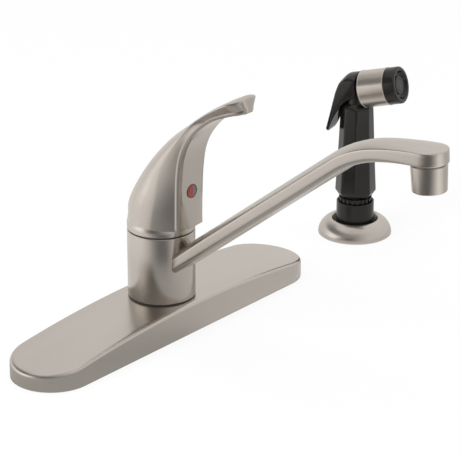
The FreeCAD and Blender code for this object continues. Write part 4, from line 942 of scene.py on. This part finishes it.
def spray_holder():
    profile = [(HOLDER_BORE, HOLDER_FLOOR), (HOLDER_BORE, HOLDER_FOOT),
               (HOLDER_SHANK - 1.0, HOLDER_FOOT)]
    for step in range(THREAD_TURNS):
        low = HOLDER_FOOT + 1.0 + THREAD_PITCH * step
        profile += [(HOLDER_SHANK - THREAD_DEPTH, low), (HOLDER_SHANK - 0.05, low + 0.65),
                    (HOLDER_SHANK - 0.05, low + 0.85)]
    thread_end = HOLDER_FOOT + 1.0 + THREAD_PITCH * THREAD_TURNS
    profile += [(HOLDER_SHANK - THREAD_DEPTH, thread_end), (HOLDER_SHANK, thread_end + 1.0),
                (HOLDER_SHANK, FLANGE_SEAT), (HOLDER_RADIUS + 1.0, FLANGE_SEAT)]
    profile += corner_arc(HOLDER_RADIUS + 0.7, FLANGE_SEAT + 0.8, 0.5, -20, 90, 4)
    profile += [(HOLDER_RADIUS + 0.1, FLANGE_SEAT + 1.5), (HOLDER_RADIUS, FLANGE_SEAT + 2.0)]
    profile += corner_arc(HOLDER_RADIUS - 0.4, HOLDER_TOP - 0.4, 0.4, 0, 90, 5)
    profile += corner_arc(HOLDER_CUP + 0.3, HOLDER_TOP - 0.3, 0.3, 90, 180, 4)
    profile += [(HOLDER_CUP, HOLDER_FLOOR + 0.5), (HOLDER_CUP - 0.5, HOLDER_FLOOR),
                (HOLDER_BORE, HOLDER_FLOOR)]
    holder = turned("spray_holder_cup", [(r * MM, z * MM) for r, z in profile])
    stand_on(holder, SPRAY_AT)
    soften(holder, smooth=38.0)
    finish(holder, black_plastic, "root", "spray_holder")


spray_holder()


# ---- Spray grip: the moulded body of the spray, eight flat sides that swell at the heel and
# taper up to a rounded shoulder, then the neck and the round core that the head pieces
# are pressed on.
SPRAY_TURN = 13.0
GRIP_BASE = 27.5
GRIP_LEVELS = ((27.5, 10.0), (27.9, 10.75), (31.5, 12.95), (32.3, 13.08), (50.0, 12.2),
               (70.0, 11.3), (82.0, 10.85), (91.4, 10.42))
NECK_RADIUS = 7.4
HEAD_HEIGHT = 104.3
HEAD_AT = SPRAY_AT + Vector((0, 0, HEAD_HEIGHT * MM))
HEAD_TILT = 14.5
CORE_RADIUS = 11.88
CORE_INSIDE = 4.0
CORE_START, CORE_END = 5.1, 24.6
TAIL_RADIUS = 6.4
TAIL_LENGTH = 8.5
TONGUE_HALF = (6.6, 7.8, 6.8)
TONGUE_AHEAD = 3.0


def grip_ring(height, flat, roundness=0.0):
    """The eight-sided section, flat in front, with its corners taken towards a circle."""
    points = []
    for side in range(8):
        for step in range(6):
            angle = math.radians(45.0 * side - 22.5 + 45.0 * step / 6)
            straight = flat / math.cos(math.radians(-22.5 + 45.0 * step / 6))
            radius = straight + (flat - straight) * roundness
            points.append(Vector((radius * math.cos(angle), radius * math.sin(angle),
                                  height)) * MM)
    return points


def spray_grip():
    tail = grip_ring(GRIP_BASE - TAIL_LENGTH, TAIL_RADIUS, 1.0)
    rings = [tail, grip_ring(GRIP_BASE - 0.02, TAIL_RADIUS, 1.0)]
    rings += [grip_ring(height, flat) for height, flat in GRIP_LEVELS]
    rings += [grip_ring(92.6, 10.3, 0.35), grip_ring(93.3, 10.0, 0.8), grip_ring(94.1, 9.5, 1.0),
              grip_ring(94.8, 8.7, 1.0), grip_ring(95.4, 7.9, 1.0),
              grip_ring(96.2, NECK_RADIUS, 1.0), grip_ring(102.0, NECK_RADIUS, 1.0)]
    body = skin("spray_grip_body", rings)
    soften(body, 0.45 * MM, angle=24.0, segments=3, smooth=26.0)
    stand_on(body, SPRAY_AT, turn=SPRAY_TURN)
    core = turned("spray_head_core", [(r * MM, z * MM) for r, z in (
        (CORE_INSIDE, CORE_END), (CORE_INSIDE, CORE_START), (CORE_RADIUS - 0.8, CORE_START),
        (CORE_RADIUS - 0.2, CORE_START + 0.2), (CORE_RADIUS, CORE_START + 0.9),
        (CORE_RADIUS, CORE_END), (CORE_INSIDE, CORE_END))])
    stand_on(core, HEAD_AT, tilt=90 - HEAD_TILT, turn=SPRAY_TURN)
    bpy.ops.object.select_all(action="DESELECT")
    bpy.ops.mesh.primitive_cube_add(size=2, location=(0, -TONGUE_AHEAD * MM, HEAD_HEIGHT * MM),
                                    scale=Vector(TONGUE_HALF) * MM)
    tongue = bpy.context.object
    tongue.name = "spray_head_tongue"
    bpy.ops.object.transform_apply(location=True, rotation=True, scale=True)
    soften(tongue, 1.2 * MM, segments=4)
    stand_on(tongue, SPRAY_AT, turn=SPRAY_TURN)
    pick(body)
    core.select_set(True)
    tongue.select_set(True)
    bpy.ops.object.join()
    soften(body, smooth=26.0)
    finish(body, black_plastic, "spray", "spray_grip")


spray_grip()


# ---- Spray head: a brushed nickel sleeve with a bead at each end, a glossy nozzle ring and
# the dark face that the water leaves from, all pressed on the core.
SLEEVE_RADIUS = 13.0
SLEEVE_START, SLEEVE_END = 5.4, 24.8
SLEEVE_BEAD = 0.22
SLEEVE_EDGE = 0.25
NOZZLE_RADIUS = 12.7
NOZZLE_FRONT = 33.2
NOZZLE_MOUTH = 9.8
NOZZLE_EDGE = 1.2
NOZZLE_FLOOR = 30.2
FACE_RADIUS = 6.2


def head_piece(name, profile, material, node):
    """Turns a profile of (radius, distance ahead of the head's centre) in mm and presses the
    piece on the core."""
    piece = turned(name, [(r * MM, z * MM) for r, z in profile])
    stand_on(piece, HEAD_AT, tilt=90 - HEAD_TILT, turn=SPRAY_TURN)
    soften(piece, smooth=38.0)
    finish(piece, material, "spray", node)


nickel_sleeve = satin_nickel("nickel_sleeve", (420.0, 4200.0, 900.0))
half_profile = [(SLEEVE_RADIUS - SLEEVE_EDGE, 0.0), (SLEEVE_RADIUS, SLEEVE_EDGE),
                (SLEEVE_RADIUS, 0.8), (SLEEVE_RADIUS - SLEEVE_BEAD, 1.0)]
sleeve_profile = [(CORE_RADIUS, SLEEVE_START)]
sleeve_profile += [(radius, SLEEVE_START + along) for radius, along in half_profile]
sleeve_profile += [(radius, SLEEVE_END - along) for radius, along in reversed(half_profile)]
sleeve_profile += [(CORE_RADIUS, SLEEVE_END), (CORE_RADIUS, SLEEVE_START)]
head_piece("spray_sleeve_turned", sleeve_profile, nickel_sleeve, "spray_sleeve")

ring_profile = [(0.5, NOZZLE_FLOOR), (0.5, SLEEVE_END + 0.05),
                (NOZZLE_RADIUS - 0.2, SLEEVE_END + 0.05), (NOZZLE_RADIUS, SLEEVE_END + 0.25)]
ring_profile += corner_arc(NOZZLE_RADIUS - NOZZLE_EDGE, NOZZLE_FRONT - NOZZLE_EDGE, NOZZLE_EDGE,
                           0, 90, 6)
ring_profile += corner_arc(NOZZLE_MOUTH + 0.4, NOZZLE_FRONT - 0.4, 0.4, 90, 170, 4)
ring_profile += [(NOZZLE_MOUTH - 1.1, NOZZLE_FLOOR + 0.3), (NOZZLE_MOUTH - 1.5, NOZZLE_FLOOR),
                 (0.5, NOZZLE_FLOOR)]
head_piece("spray_nozzle_ring", ring_profile, black_plastic, "nozzle_ring")

face_profile = [(0.3, NOZZLE_FLOOR + 0.05), (FACE_RADIUS, NOZZLE_FLOOR + 0.05)]
face_profile += corner_arc(FACE_RADIUS - 0.6, NOZZLE_FLOOR + 1.3, 0.6, 0, 90, 5)
face_profile += [(FACE_RADIUS - 1.6, NOZZLE_FLOOR + 1.9), (FACE_RADIUS - 1.9, NOZZLE_FLOOR + 1.6),
                 (FACE_RADIUS - 2.2, NOZZLE_FLOOR + 1.9), (0.3, NOZZLE_FLOOR + 2.0),
                 (0.3, NOZZLE_FLOOR + 0.05)]
head_piece("spray_face_disc", face_profile, grey_plastic, "spray_face")


# ---- Thumb lever: a moulded hood over the back of the head with a channelled tail down
# behind the neck, pinned through the tongue; pressing its tail opens the valve.  Corners
# are (ahead of the grip's axis, above the head's centre), in mm.
THUMB_SIDE = ((1.6, 13.3), (-6.6, 11.3), (-10.8, 6.7), (-13.0, -1.3), (-20.2, -29.9),
              (-18.8, -31.3), (-17.2, -27.5), (-14.6, -21.0), (-11.5, -15.0), (-8.8, -10.6),
              (-5.6, -7.2), (2.4, -2.2))
THUMB_CHANNEL = THUMB_SIDE[:6] + ((-17.3, -27.6), (-16.2, -22.0), (-14.4, -14.0),
                                  (-11.2, -3.0), (-7.8, 6.2), (1.4, 9.4))
THUMB_HALF = 9.6
THUMB_TAIL_HALF = 8.6
THUMB_ROUND = 1.5
THUMB_CROWN = 13.6
CHANNEL_HALF = 7.5
THUMB_TAIL_START, THUMB_TAIL_LENGTH = -1.3, 28.6
THUMB_END_START, THUMB_END_ROUND = -25.4, 6.0


def rounded_outline(corners, reach, steps=5):
    """The same closed outline with each corner rounded off."""
    points = []
    count = len(corners)
    for index, corner in enumerate(corners):
        corner = Vector(corner)
        before = Vector(corners[index - 1]) - corner
        after = Vector(corners[(index + 1) % count]) - corner
        start = corner + before.normalized() * min(reach, before.length * 0.42)
        end = corner + after.normalized() * min(reach, after.length * 0.42)
        points += [start] + [Vector(p) for p in rounded_turn(start, corner, end, steps)] + [end]
    return points


def thumb_ring(side, across, inset):
    """The side view at one distance across, drawn in by inset, crowned like the head above
    and narrowed towards the tail's rounded end."""
    ring = []
    for index, point in enumerate(side):
        along = (side[(index + 1) % len(side)] - side[index - 1]).normalized()
        thin = 1.0 - 0.75 * min(max((-12.0 - point.y) / 10.0, 0.0), 1.0)
        ahead, rise = point + Vector((-along.y, along.x)) * inset * thin
        lower = min(max((THUMB_TAIL_START - rise) / THUMB_TAIL_LENGTH, 0.0), 1.0)
        x = across * (1 + (THUMB_TAIL_HALF / THUMB_HALF - 1) * lower)
        over = min(THUMB_END_START - rise, THUMB_END_ROUND - 0.2)
        if over > 0:
            end = THUMB_END_ROUND - math.sqrt(THUMB_END_ROUND ** 2 - over ** 2)
            x *= 1 - end / THUMB_TAIL_HALF
        dip = 1 - math.sqrt(1 - (across / THUMB_CROWN) ** 2)
        if rise > 0:
            rise -= dip * rise * min(rise / 9.0, 1.0)
        if ahead < -5.0:
            ahead += dip * 2.0 * min(max((rise + 2.0) / 8.0, 0.0), 1.0)
        ring.append(Vector((x, -ahead, HEAD_HEIGHT + rise)) * MM)
    return ring


def thumb_lever():
    side = rounded_outline(THUMB_SIDE, 2.0)
    channel = rounded_outline(THUMB_CHANNEL, 2.0)
    edge = []
    for angle in (90, 66, 42, 20, 0):
        lean = math.radians(angle)
        edge.append((side, THUMB_HALF - THUMB_ROUND * (1 - math.sin(lean)),
                     THUMB_ROUND * (1 - math.cos(lean))))
    edge += [(side, CHANNEL_HALF + 0.06, 0.0), (channel, CHANNEL_HALF, 0.0),
             (channel, CHANNEL_HALF * 0.66, 0.0), (channel, CHANNEL_HALF * 0.33, 0.0)]
    slices = [(view, -across, inset) for view, across, inset in edge]
    slices += [(channel, 0.0, 0.0)] + list(reversed(edge))
    lever = skin("thumb_lever_moulding", [thumb_ring(*cut) for cut in slices])
    soften(lever, smooth=42.0)
    stand_on(lever, SPRAY_AT, turn=SPRAY_TURN)
    finish(lever, black_plastic, "trigger", "thumb_lever")


thumb_lever()


# ---- What the deck and the hub hide: brass body and shanks, copper inlet tubes, steel and
# ceramic cartridge parts, nuts, seals and washers.  They keep their own shapes.
rubber = moulded("rubber", ((0.018, 0.018, 0.018, 1.0), (0.032, 0.031, 0.03, 1.0)),
                 0.62, 0.15, 0.04 * MM)
ceramic = moulded("ceramic", ((0.80, 0.78, 0.74, 1.0), (0.86, 0.84, 0.81, 1.0)),
                  0.12, 0.06, 0.005 * MM)
brass = grained_metal("turned_brass", (900.0, 900.0, 2600.0),
                      ((0.58, 0.40, 0.17, 1.0), (0.48, 0.32, 0.13, 1.0)), 0.26, 0.14, 0.3)
copper = grained_metal("drawn_copper", (2200.0, 2200.0, 180.0),
                       ((0.62, 0.30, 0.18, 1.0), (0.50, 0.22, 0.13, 1.0)), 0.28, 0.16, 0.2)
steel = grained_metal("plain_steel", (1800.0, 1800.0, 600.0),
                      ((0.46, 0.46, 0.46, 1.0), (0.37, 0.37, 0.38, 1.0)), 0.3, 0.14, 0.25)
HIDDEN_FINISHES = {"nickel": nickel_turned, "black_plastic": black_plastic,
                   "grey_plastic": grey_plastic, "indicator": button_plastic, "brass": brass,
                   "copper": copper, "steel": steel, "rubber": rubber, "ceramic": ceramic}

for part in frame["record"]["subparts"]:
    node = frame["nodes"][part["node"]]
    node.data.materials.clear()
    node.data.materials.append(HIDDEN_FINISHES[part["material_slot"]])
